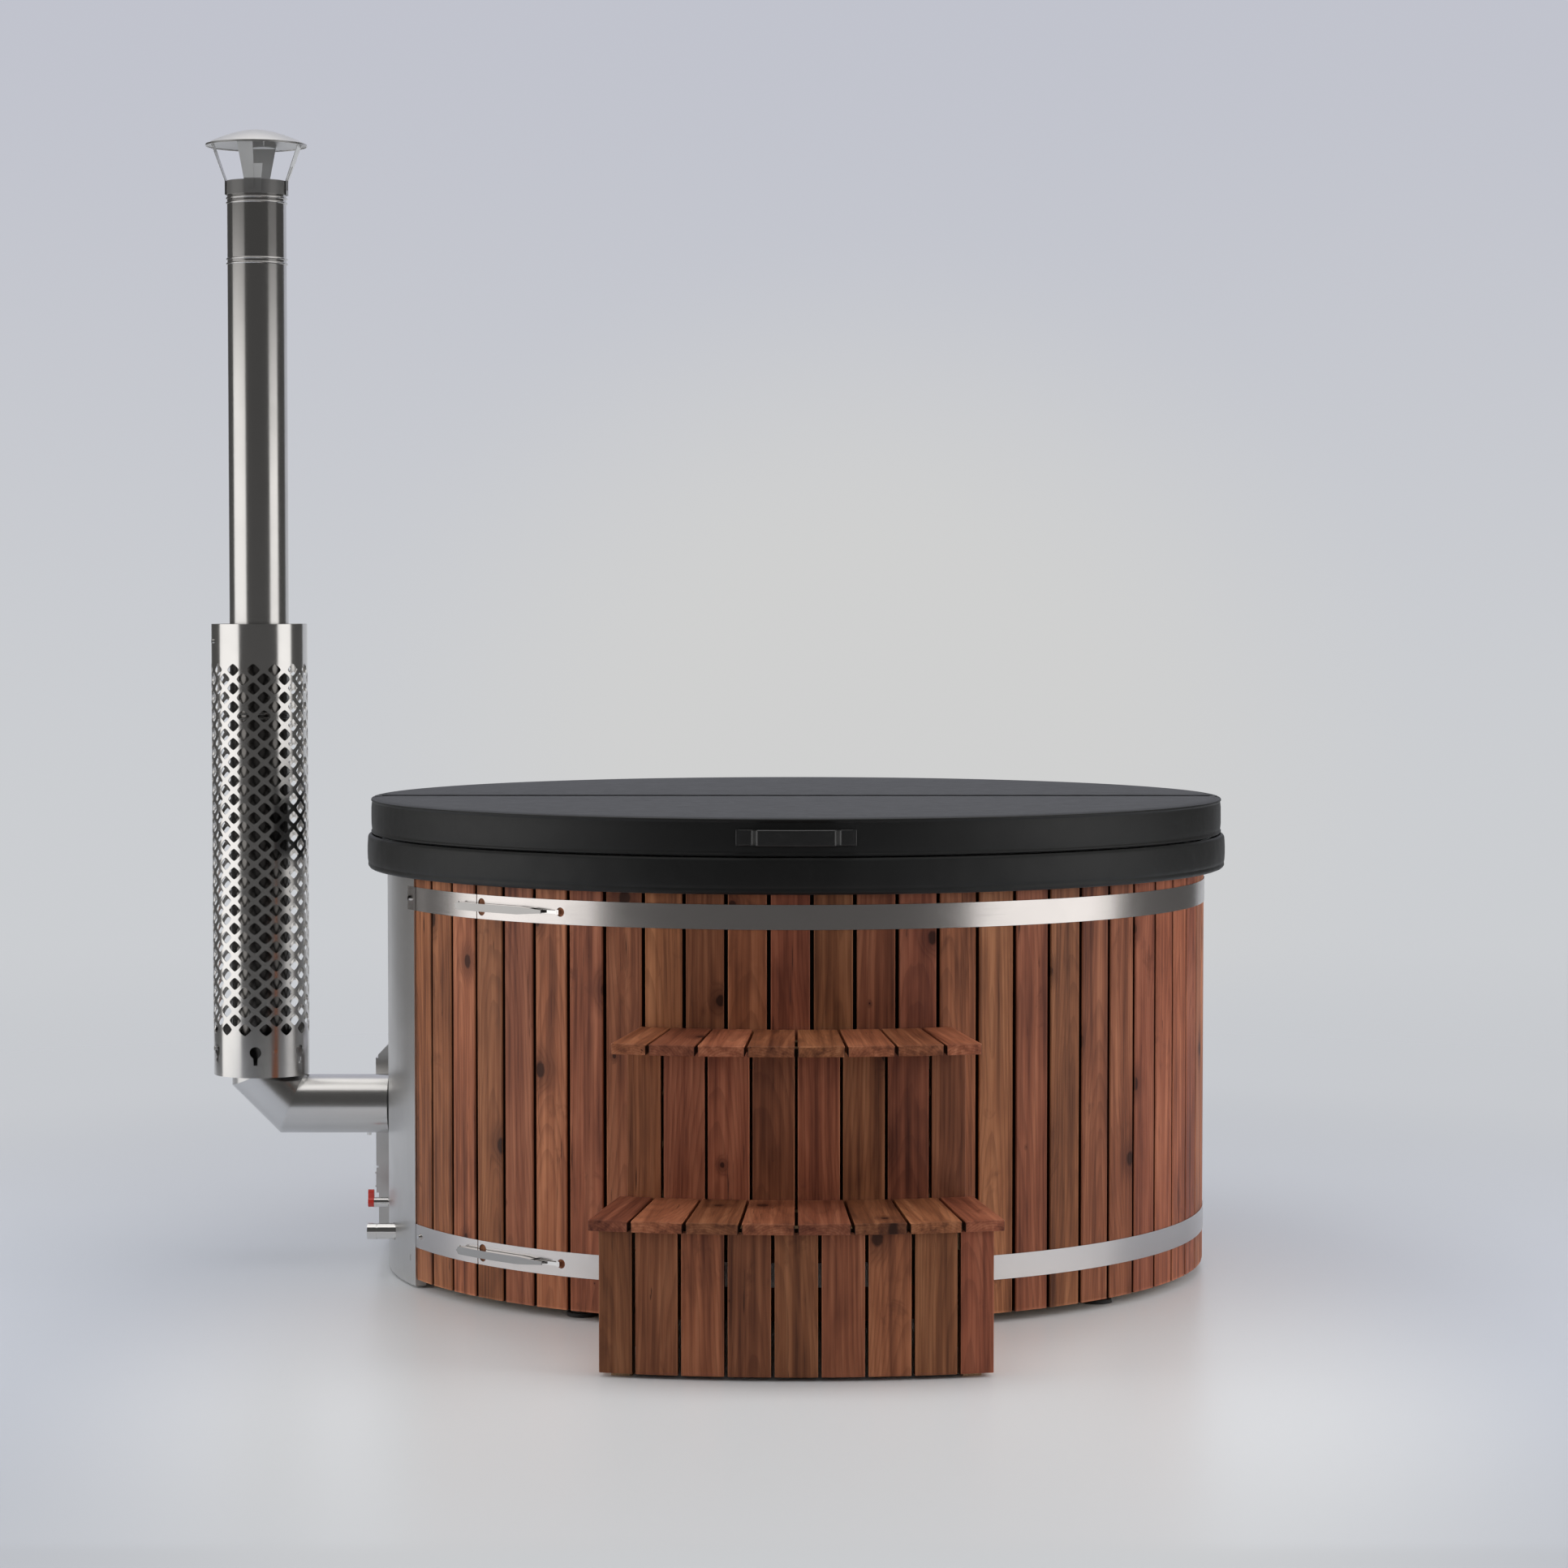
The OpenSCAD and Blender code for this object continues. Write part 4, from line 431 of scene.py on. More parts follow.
def recast(node, edge, rings=2):
    """The node's own shape, welded, with its sharp edges eased by edge metres."""
    bm = bmesh.new()
    bm.from_mesh(NODES[node].data)
    bmesh.ops.remove_doubles(bm, verts=bm.verts, dist=2e-6)
    bmesh.ops.dissolve_degenerate(bm, dist=1e-6, edges=bm.edges)
    bmesh.ops.dissolve_limit(bm, angle_limit=math.radians(0.5), verts=bm.verts, edges=bm.edges)
    limit = math.radians(SHARP_DEG)
    edges = [e for e in bm.edges if len(e.link_faces) == 2 and e.calc_face_angle(0) > limit]
    if edge:
        bmesh.ops.bevel(bm, geom=edges, offset=edge, segments=rings, profile=0.6,
                        affect="EDGES", clamp_overlap=True)
    return bm


def islands(bm):
    """The separate solids of bm, each as a list of its vertices."""
    groups, seen = [], set()
    bm.verts.ensure_lookup_table()
    for first in bm.verts:
        if first.index in seen:
            continue
        stack, group = [first], []
        seen.add(first.index)
        while stack:
            vert = stack.pop()
            group.append(vert)
            for edge in vert.link_edges:
                other = edge.other_vert(vert)
                if other.index not in seen:
                    seen.add(other.index)
                    stack.append(other)
        groups.append(group)
    return groups


def board_axes(kind, middle):
    """Unit vectors across, through and along a board whose middle is given."""
    up = Vector((0, 0, 1))
    if kind == "wall":
        out = Vector((middle.x, middle.y, 0)).normalized()
        return up.cross(out), out, up
    if kind == "tread":
        run = (Vector((middle.x, middle.y, 0)) - STEP_FOCUS).normalized()
        return up.cross(run), up, run
    if kind == "x":
        return Vector((0, 1, 0)), up, Vector((1, 0, 0))
    if kind == "y":
        return Vector((1, 0, 0)), up, Vector((0, 1, 0))
    side = Vector((1, 0, 0))
    return Vector((0, 1, 0)), side, up


def boards(node, kind, material, edge, salt):
    """Every board of a wooden node, with eased edges and its own grain and tone."""
    bm = recast(node, edge)
    bm.verts.index_update()
    groups = islands(bm)
    middles = [sum((v.co for v in g), Vector()) / len(g) for g in groups]
    order = sorted(range(len(groups)), key=lambda k: (
        round(math.atan2(middles[k].x, -middles[k].y), 4), round(middles[k].z, 3)))
    draw = random.Random(salt * 1009 + 7)
    count = len(bm.verts)
    grain = np.zeros((count, 3), np.float32)
    seed = np.zeros(count, np.float32)
    tone = np.zeros(count, np.float32)
    place = np.zeros((count, 3), np.float32)
    for k in order:
        across, through, along = board_axes(kind, middles[k])
        du, dv = draw.uniform(-0.05, 0.05), draw.uniform(0.02, 0.11)
        s, t = draw.random(), draw.random()
        rows = [vert.index for vert in groups[k]]
        offs = np.array([vert.co - middles[k] for vert in groups[k]], np.float32)
        local = offs @ np.array([across, through, along], np.float32).T
        grain[rows] = local + (du, dv, 0)
        span = local.max(0) - local.min(0)
        place[rows] = (local - local.min(0)) / np.maximum(span, 1e-6) * 2 - 1
        seed[rows], tone[rows] = s, t
    piece = new_piece(node + "_boards", bm, material, body_of(node))
    for label, kind_of, field, values in (
            ("grain", "FLOAT_VECTOR", "vector", grain), ("place", "FLOAT_VECTOR", "vector", place),
            ("seed", "FLOAT", "value", seed), ("tone", "FLOAT", "value", tone)):
        made = piece.data.attributes.new(label, kind_of, "POINT")
        made.data.foreach_set(field, values.ravel())
    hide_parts(node)


def metal(node, material, slot, edge=0.0004):
    """A sheet or forged part with eased edges. Wide edges get more rings."""
    rings = 5 if edge > 0.002 else 2
    piece = new_piece(node + "_sheet", recast(node, edge, rings), material, body_of(node))
    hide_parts(node)


# Wood

boards("wall_staves", "wall", STAINED, 0.0022, 3)
boards("steps_upper_treads", "tread", STAINED, 0.0018, 5)
boards("steps_lower_treads", "tread", STAINED, 0.0018, 8)
boards("steps_upper_risers", "wall", STAINED, 0.0016, 13)
boards("steps_lower_risers", "wall", STAINED, 0.0016, 21)
boards("steps_side_boards", "side", STAINED, 0.0016, 34)
boards("base_joists", "y", PLAIN_WOOD, 0.0012, 55)
boards("frame_studs", "wall", PLAIN_WOOD, 0.0010, 89)
boards("steps_frame", "side", PLAIN_WOOD, 0.0010, 144)
boards("stove_fence", "side", PLAIN_WOOD, 0.0015, 233)


# Heat guard: a lattice of rounded diamonds, rolled into a tube

def guard_sheet():
    """The lattice, with a plain collar above and below. Places run round the tube and up it."""
    bm = bmesh.new()
    made = {}

    def vert(s, z):
        key = (round(s * 1e6) % round(2 * math.pi * GUARD_R * 1e6), round(z * 1e6))
        if key not in made:
            a = s / GUARD_R
            made[key] = bm.verts.new((STACK_X + GUARD_R * math.cos(a),
                                      STACK_Y + GUARD_R * math.sin(a), z))
        return made[key]

    width = 2 * math.pi * GUARD_R / GUARD_COLS
    split = 6
    steps = 4 * split
    base = GUARD_LOW + GUARD_FIRST
    corners = [(width / 2, 0), (0, GUARD_PITCH), (-width / 2, 0), (0, -GUARD_PITCH)]
    rim = []
    for q in range(4):
        (ax, az), (bx, bz) = corners[q], corners[(q + 1) % 4]
        rim += [(ax + (bx - ax) * k / split, az + (bz - az) * k / split) for k in range(split)]
    hole = []
    for k in range(steps):
        a = 2 * math.pi * k / steps
        c, d = math.cos(a), math.sin(a)
        hole.append((HOLE_HALF_W * math.copysign(abs(c) ** HOLE_POWER, c),
                     HOLE_HALF_H * math.copysign(abs(d) ** HOLE_POWER, d)))
    for row in range(GUARD_ROWS):
        z0 = base + row * GUARD_PITCH
        for col in range(GUARD_COLS):
            s0 = (col + (row % 2) / 2) * width
            outer = [vert(s0 + x, z0 + z) for x, z in rim]
            inner = [vert(s0 + x, z0 + z) for x, z in hole]
            half = [vert(s0 + (x + p) / 2, z0 + (z + q) / 2)
                    for (x, z), (p, q) in zip(rim, hole)]
            skin(bm, outer, half)
            skin(bm, half, inner)
    # Plain collars above and below, down and up from the zigzag edge of the lattice
    fine = 2 * split * GUARD_COLS

    def edge_z(k, row, sign):
        share = abs(((k / split) + (row % 2)) % 2 - 1)
        return base + row * GUARD_PITCH + sign * GUARD_PITCH * share

    def collar(row, sign, stops, holes=()):
        line = []
        for k in range(fine):
            s = k * width / (2 * split)
            line.append((s, edge_z(k, row, sign)))
        levels = [line] + [[(s, z) for s, _ in line] for z in stops]
        for low, high in zip(levels, levels[1:]):
            for k in range(fine):
                j = (k + 1) % fine
                if any((k - first) % fine < KEYHOLE_SPAN and stops[-2] < high[k][1] + 1e-6
                       and low[k][1] < stops[0] + 1e-6 for first in holes):
                    continue
                a, b = vert(*low[k]), vert(*low[j])
                c, d = vert(*high[j]), vert(*high[k])
                loop = []
                for v in (a, b, c, d):
                    if v not in loop:
                        loop.append(v)
                if len(loop) > 2:
                    bm.faces.new(loop)

    stops = [GUARD_LOW + h for h in (0.078, 0.067, 0.056, 0.045, 0.034, 0.023, 0.0)]
    step = width / (2 * split)
    facing = round((1.5 * math.pi * GUARD_R) / step)
    holes = [(facing - KEYHOLE_SPAN // 2 + round(k * fine / KEYHOLES)) % fine
             for k in range(KEYHOLES)]
    collar(0, -1, stops, holes)

    def keyhole(first):
        """Fills the place left in the collar with a sheet round a keyhole slot."""
        s0, z0 = (first + KEYHOLE_SPAN // 2) * step, KEYHOLE_Z
        last = first + KEYHOLE_SPAN
        outer = [(first * step, stops[k]) for k in range(5)]
        outer += [(k * step, stops[5]) for k in range(first, last)]
        outer += [(last * step, stops[5 - k]) for k in range(5)]
        outer += [(k * step, stops[0]) for k in range(last, first, -1)]
        inner = []
        for s, z in outer:
            a = math.atan2(z - z0, s - s0)
            down = abs((a + math.pi / 2 + math.pi) % (2 * math.pi) - math.pi)
            if down < 0.30:
                aside = max(-1, min(1, down * math.copysign(8, s - s0)))
                drop = KEYHOLE_DROP if down < 0.22 else KEYHOLE_NECK
                inner.append((s0 + KEYHOLE_SLOT * aside, z0 - drop))
            else:
                inner.append((s0 + KEYHOLE_R * math.cos(a), z0 + KEYHOLE_R * math.sin(a)))
        rings = []
        for share in (0.0, 0.5, 1.0):
            rings.append([vert(a + (c - a) * share, b + (d - b) * share)
                          for (a, b), (c, d) in zip(outer, inner)])
        for near, far in zip(rings, rings[1:]):
            skin(bm, near, far)

    for first in holes:
        keyhole(first)
    collar(GUARD_ROWS - 1, 1, [GUARD_TOP - 0.075, GUARD_TOP - 0.05, GUARD_TOP - 0.025,
                               GUARD_TOP])
    return bm


guard_bm = guard_sheet()
for rim_edge in guard_bm.edges:
    rim_edge.smooth = not rim_edge.is_boundary
guard = new_piece("heat_guard_mesh", guard_bm, GUARD_STEEL, "tub", weigh=False)
shell = guard.modifiers.new("sheet", "SOLIDIFY")
shell.thickness = GUARD_T
shell.offset = 0
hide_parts("heat_guard")


# Cover: two padded halves with piping, a padded skirt below, hinge strip and handles

def half_outline(radius, side):
    """Points round a half disc, each with its outward normal and how far it may move in.
    side 1 is the rear half."""
    corner, arc, line = 0.014, 150, 90
    tight = corner * 0.92
    low = FOLD_GAP + corner
    reach = math.sqrt((radius - corner) ** 2 - low ** 2)
    a0 = math.atan2(low, reach)
    points = []
    for k in range(arc + 1):
        a = a0 + (math.pi - 2 * a0) * k / arc
        n = Vector((math.cos(a), math.sin(a)))
        points.append((n * radius, n, 1.0 if 2 < k < arc - 2 else tight))
    for k in range(1, 7):
        a = math.pi - a0 + (math.pi / 2 + a0) * k / 6
        n = Vector((math.cos(a), math.sin(a)))
        points.append((Vector((-reach, low)) + n * corner, n, tight))
    for k in range(1, line):
        points.append((Vector((-reach + 2 * reach * k / line, FOLD_GAP)), Vector((0, -1)), 1.0))
    for k in range(6):
        a = -math.pi / 2 + (math.pi / 2 + a0) * k / 6
        n = Vector((math.cos(a), math.sin(a)))
        points.append((Vector((reach, low)) + n * corner, n, tight))
    if side < 0:
        points = [(Vector((p.x, -p.y)), Vector((n.x, -n.y)), far) for p, n, far in points]
    return points


def pad(name, side, node, core):
    """One padded half of the cover, piped round its top and bottom edges."""
    outline = half_outline(PAD_R, side)
    centre = Vector((0, side * 0.40))
    bm = bmesh.new()
    high, low = PAD_TOP, PAD_LOW
    # Offsets inward and heights from the top's inner edge, over the piping and down
    profile = [(0.030, high - 0.0004), (0.016, high - 0.0012), (0.0095, high - 0.0030),
               (0.0070, high - 0.0042), (0.0058, high - 0.0034), (0.0040, high - 0.0022),
               (0.0018, high - 0.0024), (0.0004, high - 0.0040), (0.0002, high - 0.0062),
               (0.0014, high - 0.0078), (0.0022, high - 0.0090), (0.0016, high - 0.0120),
               (0.0004, high - 0.0220), (0.0000, high - 0.0395), (0.0004, high - 0.0570),
               (0.0016, low + 0.0120), (0.0022, low + 0.0090), (0.0014, low + 0.0078),
               (0.0002, low + 0.0062), (0.0004, low + 0.0040), (0.0018, low + 0.0024),
               (0.0040, low + 0.0020), (0.0060, low + 0.0014), (0.0120, low + 0.0004),
               (0.0300, low)]
    rows = []
    for k, (inset, z) in enumerate(profile):
        row = []
        for p, n, far in outline:
            q = p - n * min(inset, far)
            side_share = 1 - abs(2 * (z - low) / (high - low) - 1)
            ripple = 0.0011 * noise.noise(Vector((q.x * 7, q.y * 7, z * 16 + side)))
            ripple += 0.0006 * noise.noise(Vector((q.x * 21, q.y * 21, z * 9)))
            q = q - n * (0.0009 + ripple) * side_share
            row.append(bm.verts.new((q.x, q.y, z)))
        rows.append(row)

    def inner(ring, z0, crown, flat):
        made = []
        for step in range(1, 34):
            share = 1 - (step / 34) ** 1.05
            row = []
            for v in ring:
                q = centre + (Vector((v.co.x, v.co.y)) - centre) * share
                bulge = crown * (1 - share ** 3)
                wave = 0.0008 * noise.noise(Vector((q.x * 2.6, q.y * 2.6, side * 3.0)))
                wave += 0.0004 * noise.noise(Vector((q.x * 8, q.y * 8, side * 5.0)))
                z = z0 + (bulge + wave * (1 - share)) * (0 if flat else 1)
                row.append(bm.verts.new((q.x, q.y, z)))
            made.append(row)
        hub = bm.verts.new((centre.x, centre.y, z0 + (0 if flat else crown)))
        return made, hub

    for first, second in zip(rows, rows[1:]):
        skin(bm, first, second)
    for ring, z0, flat in ((rows[0], high - 0.0004, False), (rows[-1], low, True)):
        made, hub = inner(ring, z0, 0.0013, flat)
        last = ring
        for row in made:
            skin(bm, last, row)
            last = row
        for k in range(len(last)):
            bm.faces.new((last[k], last[(k + 1) % len(last)], hub))
    piece = new_piece(name, bm, COVER, body_of(node), weigh=False)
    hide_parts(node, core)


def skirt(name, side, node):
    """The padded band that hangs round the tub's rim under a half of the cover."""
    bm = bmesh.new()
    loop = []
    steps = 9
    h, t = SKIRT_TOP - SKIRT_LOW, SKIRT_HALF
    for k in range(steps + 1):
        a = math.pi * k / steps
        loop.append((t * math.cos(a), t * 0.9 * math.sin(a) + h - t * 0.9))
    for share in (0.80, 0.62, 0.44, 0.27, 0.185, 0.165, 0.145):
        loop.append((-t, h * share))
    for k in range(steps + 1):
        a = math.pi + math.pi * k / steps
        loop.append((t * math.cos(a), t * 0.9 * math.sin(a) + t * 0.9))
    for share in (0.145, 0.165, 0.185, 0.27, 0.44, 0.62, 0.80):
        loop.append((t, h * share))
    gap = 0.0035 / SKIRT_MID_R
    count = 240
    rows = []
    for k in range(count + 1):
        a = gap + (math.pi - 2 * gap) * k / count
        end = min(k, count - k) / 3
        pinch = 0.55 + 0.45 * math.sqrt(1 - (1 - min(end, 1)) ** 2)
        row = []
        for off, z in loop:
            x, y = math.cos(a), side * math.sin(a)
            share = z / h
            swell = 0.0016 * math.sin(math.pi * min(1, max(0, share)))
            groove = 0.0013 * math.exp(-((share - 0.165) / 0.022) ** 2)
            soft = 0.0014 * noise.noise(Vector((x * 11, y * 11, share * 1.1 + side)))
            soft += 0.0007 * noise.noise(Vector((x * 34, y * 34, share * 1.7)))
            out = off * pinch
            if off > 0:
                out += swell - groove - 0.0018 + soft
            r = SKIRT_MID_R + out
            row.append(bm.verts.new((x * r, y * r, SKIRT_LOW + z)))
        rows.append(row)
    for first, second in zip(rows, rows[1:]):
        skin(bm, first, second)
    cap(bm, rows[0], rows[-1])
    piece = new_piece(name, bm, COVER, body_of(node), weigh=False)
    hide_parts(node)


pad("cover_pad_rear", 1, "lid_rear_jacket", "lid_rear_core")
pad("cover_pad_front", -1, "lid_front_jacket", "lid_front_core")
skirt("cover_skirt_rear", 1, "lid_rear_skirt")
skirt("cover_skirt_front", -1, "lid_front_skirt")


def hinge_strip():
    """The flat strip sewn over the fold."""
    bm = bmesh.new()
    reach, half = FLAP_REACH, FLAP_HALF
    cols = 180
    ys = [-half, -half + 0.0015, -half + 0.004, -half + 0.0055, -half + 0.007, -0.018, -0.010,
          -0.0045, -0.003, -0.0015, 0.0, 0.0015, 0.003, 0.0045, 0.010, 0.018, half - 0.007,
          half - 0.0055, half - 0.004, half - 0.0015, half]
    grid = []
    for k in range(cols + 1):
        x = -reach + 2 * reach * k / cols
        row = []
        for y in ys:
            seam = 0.0005 * math.exp(-((abs(y) - half + 0.0055) / 0.0014) ** 2)
            lift = 0.0003 * noise.noise(Vector((x * 20, y * 60, 4.0)))
            row.append(bm.verts.new((x, y, PAD_TOP + 0.0010 - seam + lift)))
        grid.append(row)
    for first, second in zip(grid, grid[1:]):
        for k in range(len(ys) - 1):
            bm.faces.new((first[k], second[k], second[k + 1], first[k + 1]))
    piece = put_down("cover_hinge_strip", bm, COVER)
    made = piece.modifiers.new("cloth", "SOLIDIFY")
    made.thickness = 0.0011
    made.offset = 0
    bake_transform(piece)
    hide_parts("lid_rear_flap", "lid_front_flap")


hinge_strip()


def strap(name, side, node):
    """A webbing loop sewn flat to the pad at both ends and bowed out for the hand."""
    half, tab, width, thick = 0.090, 0.030, 0.033, 0.0040
    low = PAD_R + 0.0004 + thick / 2
    count, across = 120, 16
    reach = half + tab
    line = []
    for k in range(count + 1):
        s = -reach + 2 * reach * k / count
        away = (half - abs(s)) / 0.016
        rise = min(1.0, max(0.0, away))
        rise = rise * rise * (3 - 2 * rise)
        bow = 0.0012 * math.cos(math.pi * s / (2 * half)) if rise > 0 else 0
        r = low + rise * (STRAP_OUT_R - low) + rise * bow
        a = side * math.pi / 2 + s / PAD_R
        line.append((a, r, s))
    bm = bmesh.new()
    rows = []
    for a, r, s in line:
        loop = []
        for face in (1, -1):
            for k in range(across + 1):
                t = -1 + 2 * k / across
                edge = math.sqrt(max(0.0, 1 - max(0.0, (abs(t) - 0.86) / 0.14) ** 2))
                rib = 0.00022 * math.cos(t * math.pi * 7) * edge
                stitch = 0.0004 * math.exp(-((abs(t) - 0.78) / 0.05) ** 2)
                ends = 0.0005 * math.exp(-((abs(abs(s) - reach) - 0.0035) / 0.0012) ** 2)
                off = face * (thick / 2 * edge * 0.92 + rib - stitch) - (ends if face > 0 else 0)
                z = STRAP_Z + face * t * width / 2
                loop.append(((r + off) * math.cos(a), (r + off) * math.sin(a), z))
        rows.append([bm.verts.new(p) for p in loop])
    for first, second in zip(rows, rows[1:]):
        skin(bm, first, second)
    cap(bm, rows[0], rows[-1])
    bmesh.ops.remove_doubles(bm, verts=bm.verts, dist=1e-6)
    piece = new_piece(name, bm, STRAP, body_of(node), weigh=False)
    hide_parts(node)


strap("cover_strap_rear", 1, "lid_rear_handle")
strap("cover_strap_front", -1, "lid_front_handle")


def soft_block(name, node, material, edge, dent):
    """A foam or rope part: its own shape with rounded edges and a slightly uneven skin."""
    bm = recast(node, edge, 3)
    bmesh.ops.triangulate(bm, faces=[f for f in bm.faces if len(f.verts) > 4])
    bm.normal_update()
    moved = [(v, v.normal * dent * (0.5 + 0.5 * noise.noise(v.co * 9))) for v in bm.verts]
    for v, d in moved:
        v.co -= d
    piece = new_piece(name, bm, material, body_of(node))
    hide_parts(node)


soft_block("wall_foam", "insulation", FOAM, 0.003, 0.0006)
soft_block("door_rope", "door_gasket", ROPE, 0.0022, 0.0003)

for node, material, slot, edge in [
        ("band_long_pieces", BAND_STEEL, "brushed_steel", 0.0003),
        ("band_short_pieces", BAND_STEEL, "brushed_steel", 0.0003),
        ("stove_wall_plate", PLATE_STEEL, "brushed_steel", 0.0004),
        ("stove_door_frame", PLATE_STEEL, "brushed_steel", 0.0005),
        ("latch_bases", POLISHED, "polished_steel", 0.0006),
        ("upper_latch_lever", SHADED_LEVER_STEEL, "polished_steel", 0.0040),
        ("upper_latch_hook", POLISHED, "polished_steel", 0.0006),
        ("lower_latch_lever", SHADED_LEVER_STEEL, "polished_steel", 0.0040),
        ("lower_latch_hook", POLISHED, "polished_steel", 0.0006),
        ("cap_bracket", CAP_STEEL, "brushed_steel", 0.0003)]:
    metal(node, material, slot, edge)


# The rest of the CAD parts keep their shape and get their finish here

KEEP = {
    "levelling_feet": RUBBER, "frame_rings": PLY, "floor_panel": PLY, "bench_supports": PLY,
    "backing_membrane": MEMBRANE, "inner_shell": SHELL,
    "heat_board": BOARD, "firebox": STOVE, "grate": IRON, "stove_door": PLATE_STEEL,
    "ash_drawer": PLATE_STEEL, "door_hinge_pins": POLISHED,
    "door_handle": POLISHED, "air_slide": POLISHED, "chimney_lower_pipe": SHADED_PIPE_STEEL,
    "chimney_upper_pipe": SHADED_PIPE_STEEL, "chimney_top_pipe": PIPE_STEEL,
    "rain_cone": CONE_STEEL, "guard_brackets": POLISHED,
    "flue_elbow": ELBOW_STEEL, "drain_pipe": POLISHED, "drain_outlet": POLISHED,
    "valve_body": POLISHED, "valve_lever": RED, "band_bolts": POLISHED,
    "latch_pivot_pins": POLISHED,
}
for node, material in KEEP.items():
    data = NODES[node].data
    data.materials.clear()
    data.materials.append(material)


# Stage: floor, studio light and camera

def stage_mesh(name, points, faces, material, seen=True):
    """A floor or card. A card that isn't seen shows only as a reflection."""
    mesh = bpy.data.meshes.new(name)
    mesh.from_pydata(points, [], faces)
    made = bpy.data.objects.new(name, mesh)
    scene.collection.objects.link(made)
    mesh.materials.append(material)
    if not seen:
        made.visible_camera = False
        made.visible_diffuse = False
        made.visible_shadow = False
        made.visible_transmission = False


def seen_rays(s):
    """Where a ray comes straight from the camera, or from gloss or glass."""
    light = s.node("LightPath", {}).outputs
    return s.math("MAXIMUM", s.math("MAXIMUM", light["Is Camera Ray"],
                                    light["Is Glossy Ray"]), light["Is Transmission Ray"])


def backdrop_colour(s, direction):
    """A cool grey studio wall, with a soft warmer glow low down behind the object."""
    z = s.parts(direction)[2]
    cool = s.ramp(s.span(z, -0.06, 0.16), [(0.0, (0.600, 0.615, 0.640)),
                                           (1.0, (0.532, 0.546, 0.612))])
    middle = s.vec("SUBTRACT", direction, (0.020, 1.0, -0.035))
    glow = s.vec("LENGTH", s.vec("MULTIPLY", middle, (1.0, 1.0, 1.15)))
    return s.mix(s.span(glow, 0.150, 0.045, 0.0, 1.0), cool, (0.630, 0.632, 0.630, 1))


def floor_material():
    """Pale floor that keeps its shadow near the object and clears to the wall further off."""
    s = Shader("studio_floor")
    s.tree.nodes.remove(s.bsdf)
    x, y, _ = s.parts(s.spot())
    far = s.vec("LENGTH", s.join(x, y))
    # painted light: the floor's colour darkens and cools away from a painted pool of light before
    # the object
    deep = s.math("DIVIDE", s.math("ADD", y, 1.6), 2.2)
    painted_falloff = s.math("MULTIPLY", s.span(s.vec("LENGTH", s.join(x, deep)), 0.75, 1.55),
                  s.span(y, 2.5, -0.5, 0.45, 1.0))
    ground = s.mix(painted_falloff, (0.90, 0.91, 0.92, 1), (0.63, 0.665, 0.73, 1))
    soft = s.node("BsdfPrincipled", {"Base Color": ground, "Roughness": 0.30,
                                     "Specular IOR Level": 0.25})
    seen = seen_rays(s)
    clear = s.node("BsdfTransparent", {"Color": (1, 1, 1, 1)})
    # the floor's far glow takes the same painted light falloff
    close = s.mix(painted_falloff, (0.640, 0.650, 0.665, 1), (0.500, 0.520, 0.570, 1))
    shade = s.mix(s.span(far, 2.2, 4.2), close, (0.590, 0.605, 0.635, 1))
    pale = s.node("Emission", {"Color": shade, "Strength": 1.0})
    near = s.node("MixShader", {0: s.math("MULTIPLY", seen, s.span(far, 1.75, 3.6, 0.0, 0.85)),
                                1: soft.outputs[0], 2: pale.outputs[0]})
    both = s.node("MixShader", {0: s.math("MULTIPLY", seen, s.span(far, 2.6, 9.0)),
                                1: near.outputs[0], 2: clear.outputs[0]})
    s.tree.links.new(both.outputs[0], s.out.inputs["Surface"])
    return s.mat


def card_material(name, low, high, z_low, z_high):
    """An evenly lit card that fades from low to high between two heights."""
    s = Shader(name)
    s.tree.nodes.remove(s.bsdf)
    z = s.parts(s.spot())[2]
    lit = s.node("Emission", {"Color": (1.0, 0.985, 0.965, 1),
                              "Strength": s.span(z, z_low, z_high, low, high)})
    s.tree.links.new(lit.outputs[0], s.out.inputs["Surface"])
    return s.mat


FLOOR = 60.0
stage_mesh("floor", [(-FLOOR, -FLOOR, 0), (FLOOR, -FLOOR, 0), (FLOOR, FLOOR, 0),
                     (-FLOOR, FLOOR, 0)], [(0, 1, 2, 3)], floor_material())


def wall_card(name, x0, y0, x1, y1, z0, z1, material):
    stage_mesh(name, [(x0, y0, z0), (x1, y1, z0), (x1, y1, z1), (x0, y0, z1)],
               [(0, 1, 2, 3)], material, seen=False)


BRIGHT = card_material("card_bright", 1.35, 0.16, 1.95, 2.75)
DIM = card_material("card_dim", 0.10, 0.07, 0.0, 3.0)
CEILING = card_material("card_ceiling", 1.25, 1.25, 0.0, 6.0)
wall_card("card_left", -4.2, -3.3, -4.2, 0.55, 0.02, 3.2, BRIGHT)
wall_card("card_right", 4.2, -4.15, 4.2, -0.1, 0.02, 3.2, BRIGHT)
wall_card("flag_front", -4.2, -9.6, 4.2, -9.6, 0.02, 6.0, DIM)
wall_card("flag_front_left", -4.2, -9.6, -4.2, -3.3, 0.02, 6.0, DIM)
wall_card("flag_front_right", 4.2, -9.6, 4.2, -4.15, 0.02, 6.0, DIM)
wall_card("flag_left", -4.2, 0.55, -3.4, 4.6, 0.02, 6.0, DIM)
wall_card("flag_right", 4.2, -0.1, 3.4, 4.6, 0.02, 6.0, DIM)
wall_card("flag_left_high", -4.21, -3.3, -4.21, 0.55, 3.2, 6.0, DIM)
wall_card("flag_right_high", 4.21, -4.15, 4.21, -0.1, 3.2, 6.0, DIM)


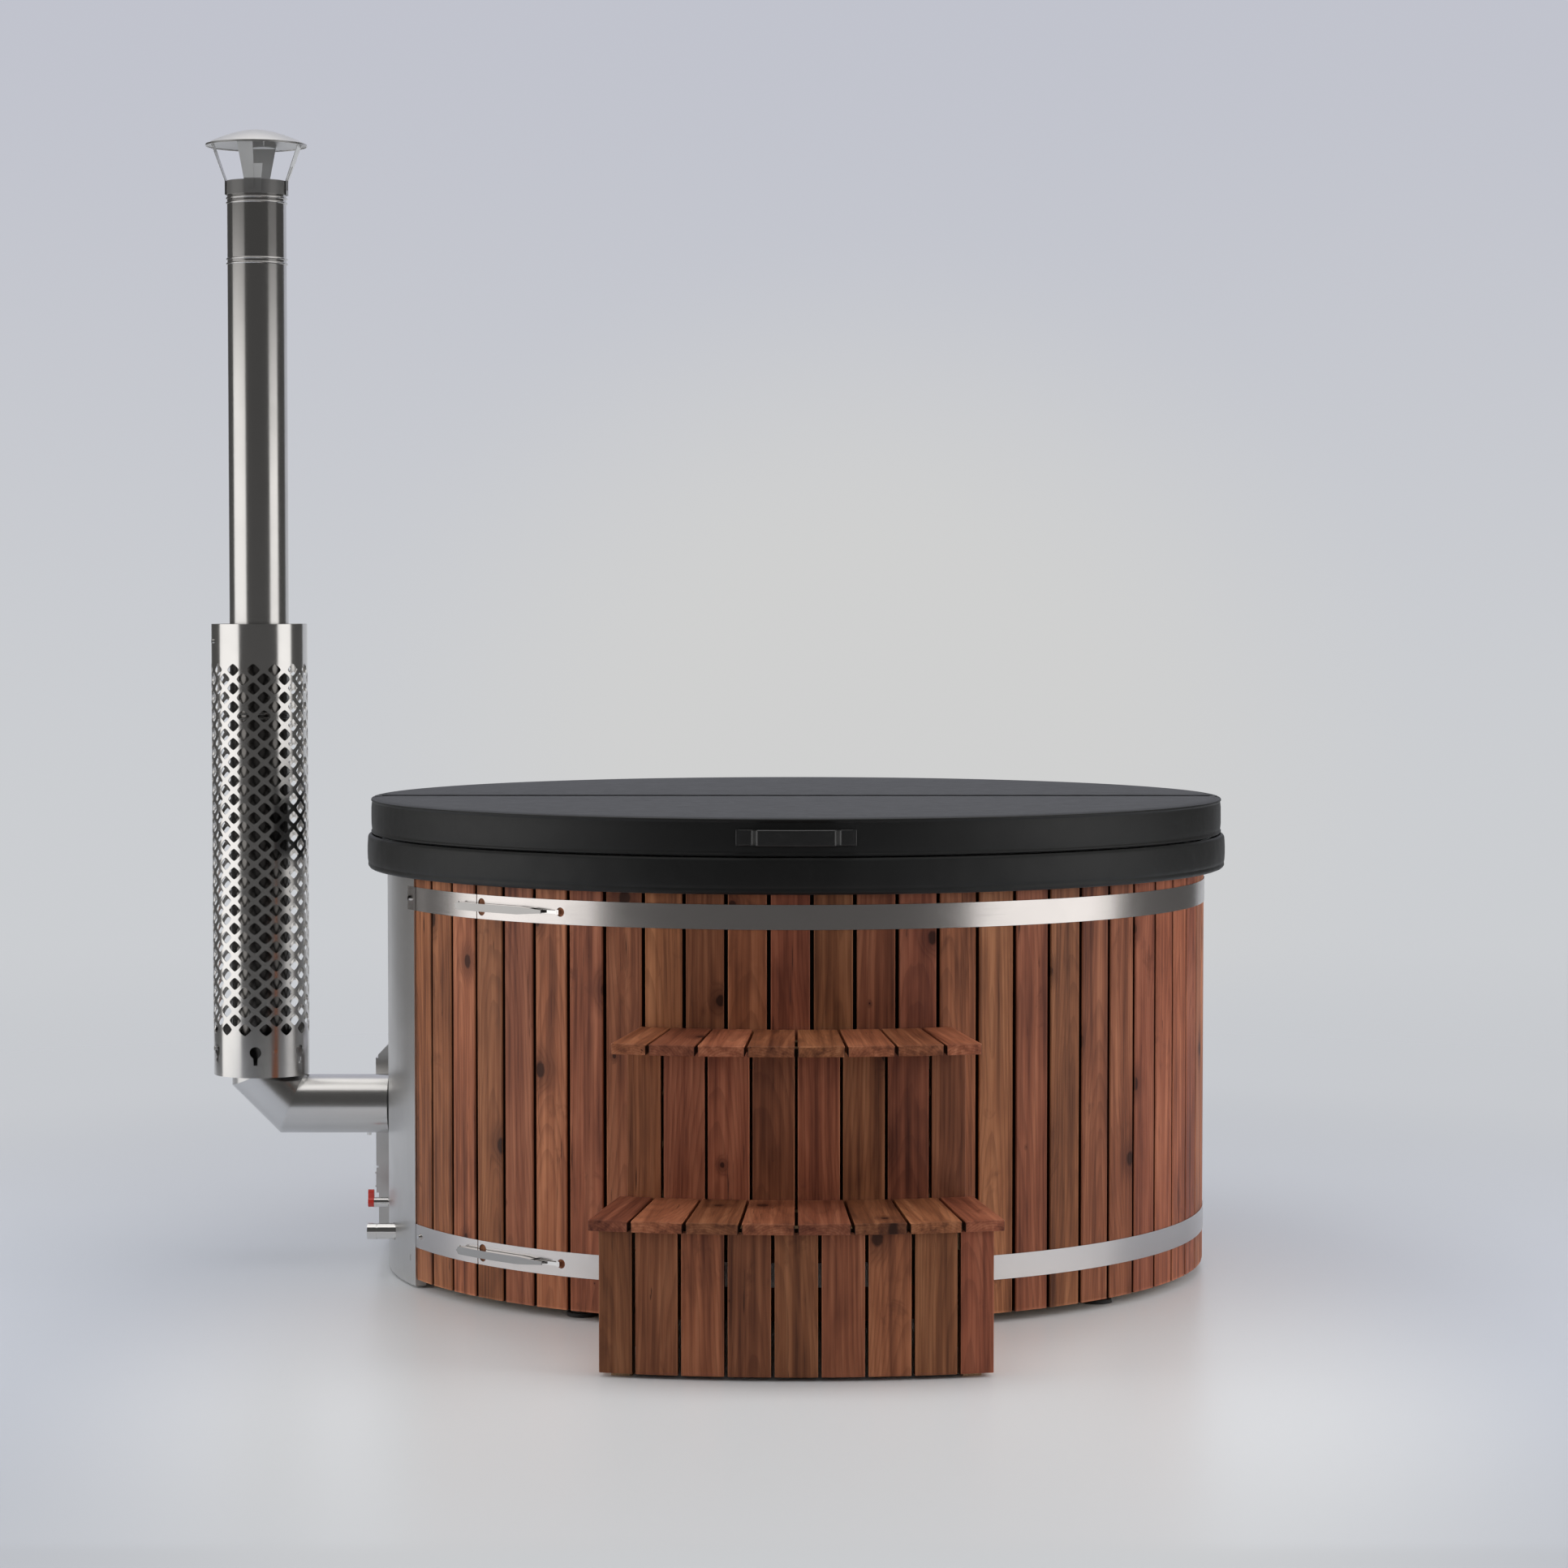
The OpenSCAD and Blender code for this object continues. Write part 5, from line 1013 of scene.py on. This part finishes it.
def level_card(name, x, y0, z0, y1, z1, material):
    stage_mesh(name, [(-x, y0, z0), (x, y0, z0), (x, y1, z1), (-x, y1, z1)],
               [(0, 1, 2, 3)], material, seen=False)


level_card("card_ceiling", 4.2, -2.9, 5.4, 2.9, 5.4, CEILING)
level_card("flag_front_high", 4.2, -9.6, 6.0, -2.9, 5.4, DIM)
level_card("flag_floor", 4.2, -9.6, 0.012, -2.7, 0.012, DIM)

world = bpy.data.worlds.new("studio")
scene.world = world
world.use_nodes = True
w = Shader.__new__(Shader)
w.tree = world.node_tree
w.tree.nodes.clear()
w.out = w.tree.nodes.new("ShaderNodeOutputWorld")
direction = w.vec("NORMALIZE", w.node("TexCoord", {}).outputs["Generated"])
back = w.node("Background", {"Color": backdrop_colour(w, direction), "Strength": 1.0})
fill = w.node("Background", {"Color": (0.95, 0.97, 1.0, 1), "Strength": 0.36})
both = w.node("MixShader", {0: seen_rays(w), 1: fill.outputs[0], 2: back.outputs[0]})
w.tree.links.new(both.outputs[0], w.out.inputs["Surface"])


def softbox(name, place, target, size, radiance, colour=(1, 1, 1)):
    """A wide lamp for the object's own colours; the cards stand for it in reflections."""
    data = bpy.data.lights.new(name, "AREA")
    data.shape = "RECTANGLE"
    data.size, data.size_y = size
    data.energy = radiance * math.pi * size[0] * size[1]
    data.color = colour
    made = bpy.data.objects.new(name, data)
    made.location = place
    made.rotation_euler = (Vector(target) - Vector(place)).to_track_quat("-Z", "Y").to_euler()
    scene.collection.objects.link(made)
    made.visible_glossy = False


softbox("box_left", (-4.1, -0.8, 1.2), (0, -0.3, 0.6), (3.6, 2.3), 3.4, (1.0, 0.985, 0.965))
softbox("box_right", (4.1, -1.3, 1.6), (0, -0.3, 0.6), (4.4, 3.0), 2.7, (1.0, 0.985, 0.965))
softbox("box_top", (0, -0.2, 5.2), (0, 0.0, 0), (4.5, 3.5), 1.5)

cam_data = bpy.data.cameras.new("camera")
cam_data.sensor_width = 36.0
cam_data.lens = 18.0 / math.tan(math.radians(11.0))
cam_data.clip_end = 200
camera = bpy.data.objects.new("camera", cam_data)
camera.location = (-0.0049, -8.932, 1.470)
camera.rotation_euler = (math.radians(90 - 2.639), 0, math.radians(0.139))
scene.collection.objects.link(camera)
scene.camera = camera

scene.view_settings.view_transform = "Standard"

bpy.context.view_layer.update()
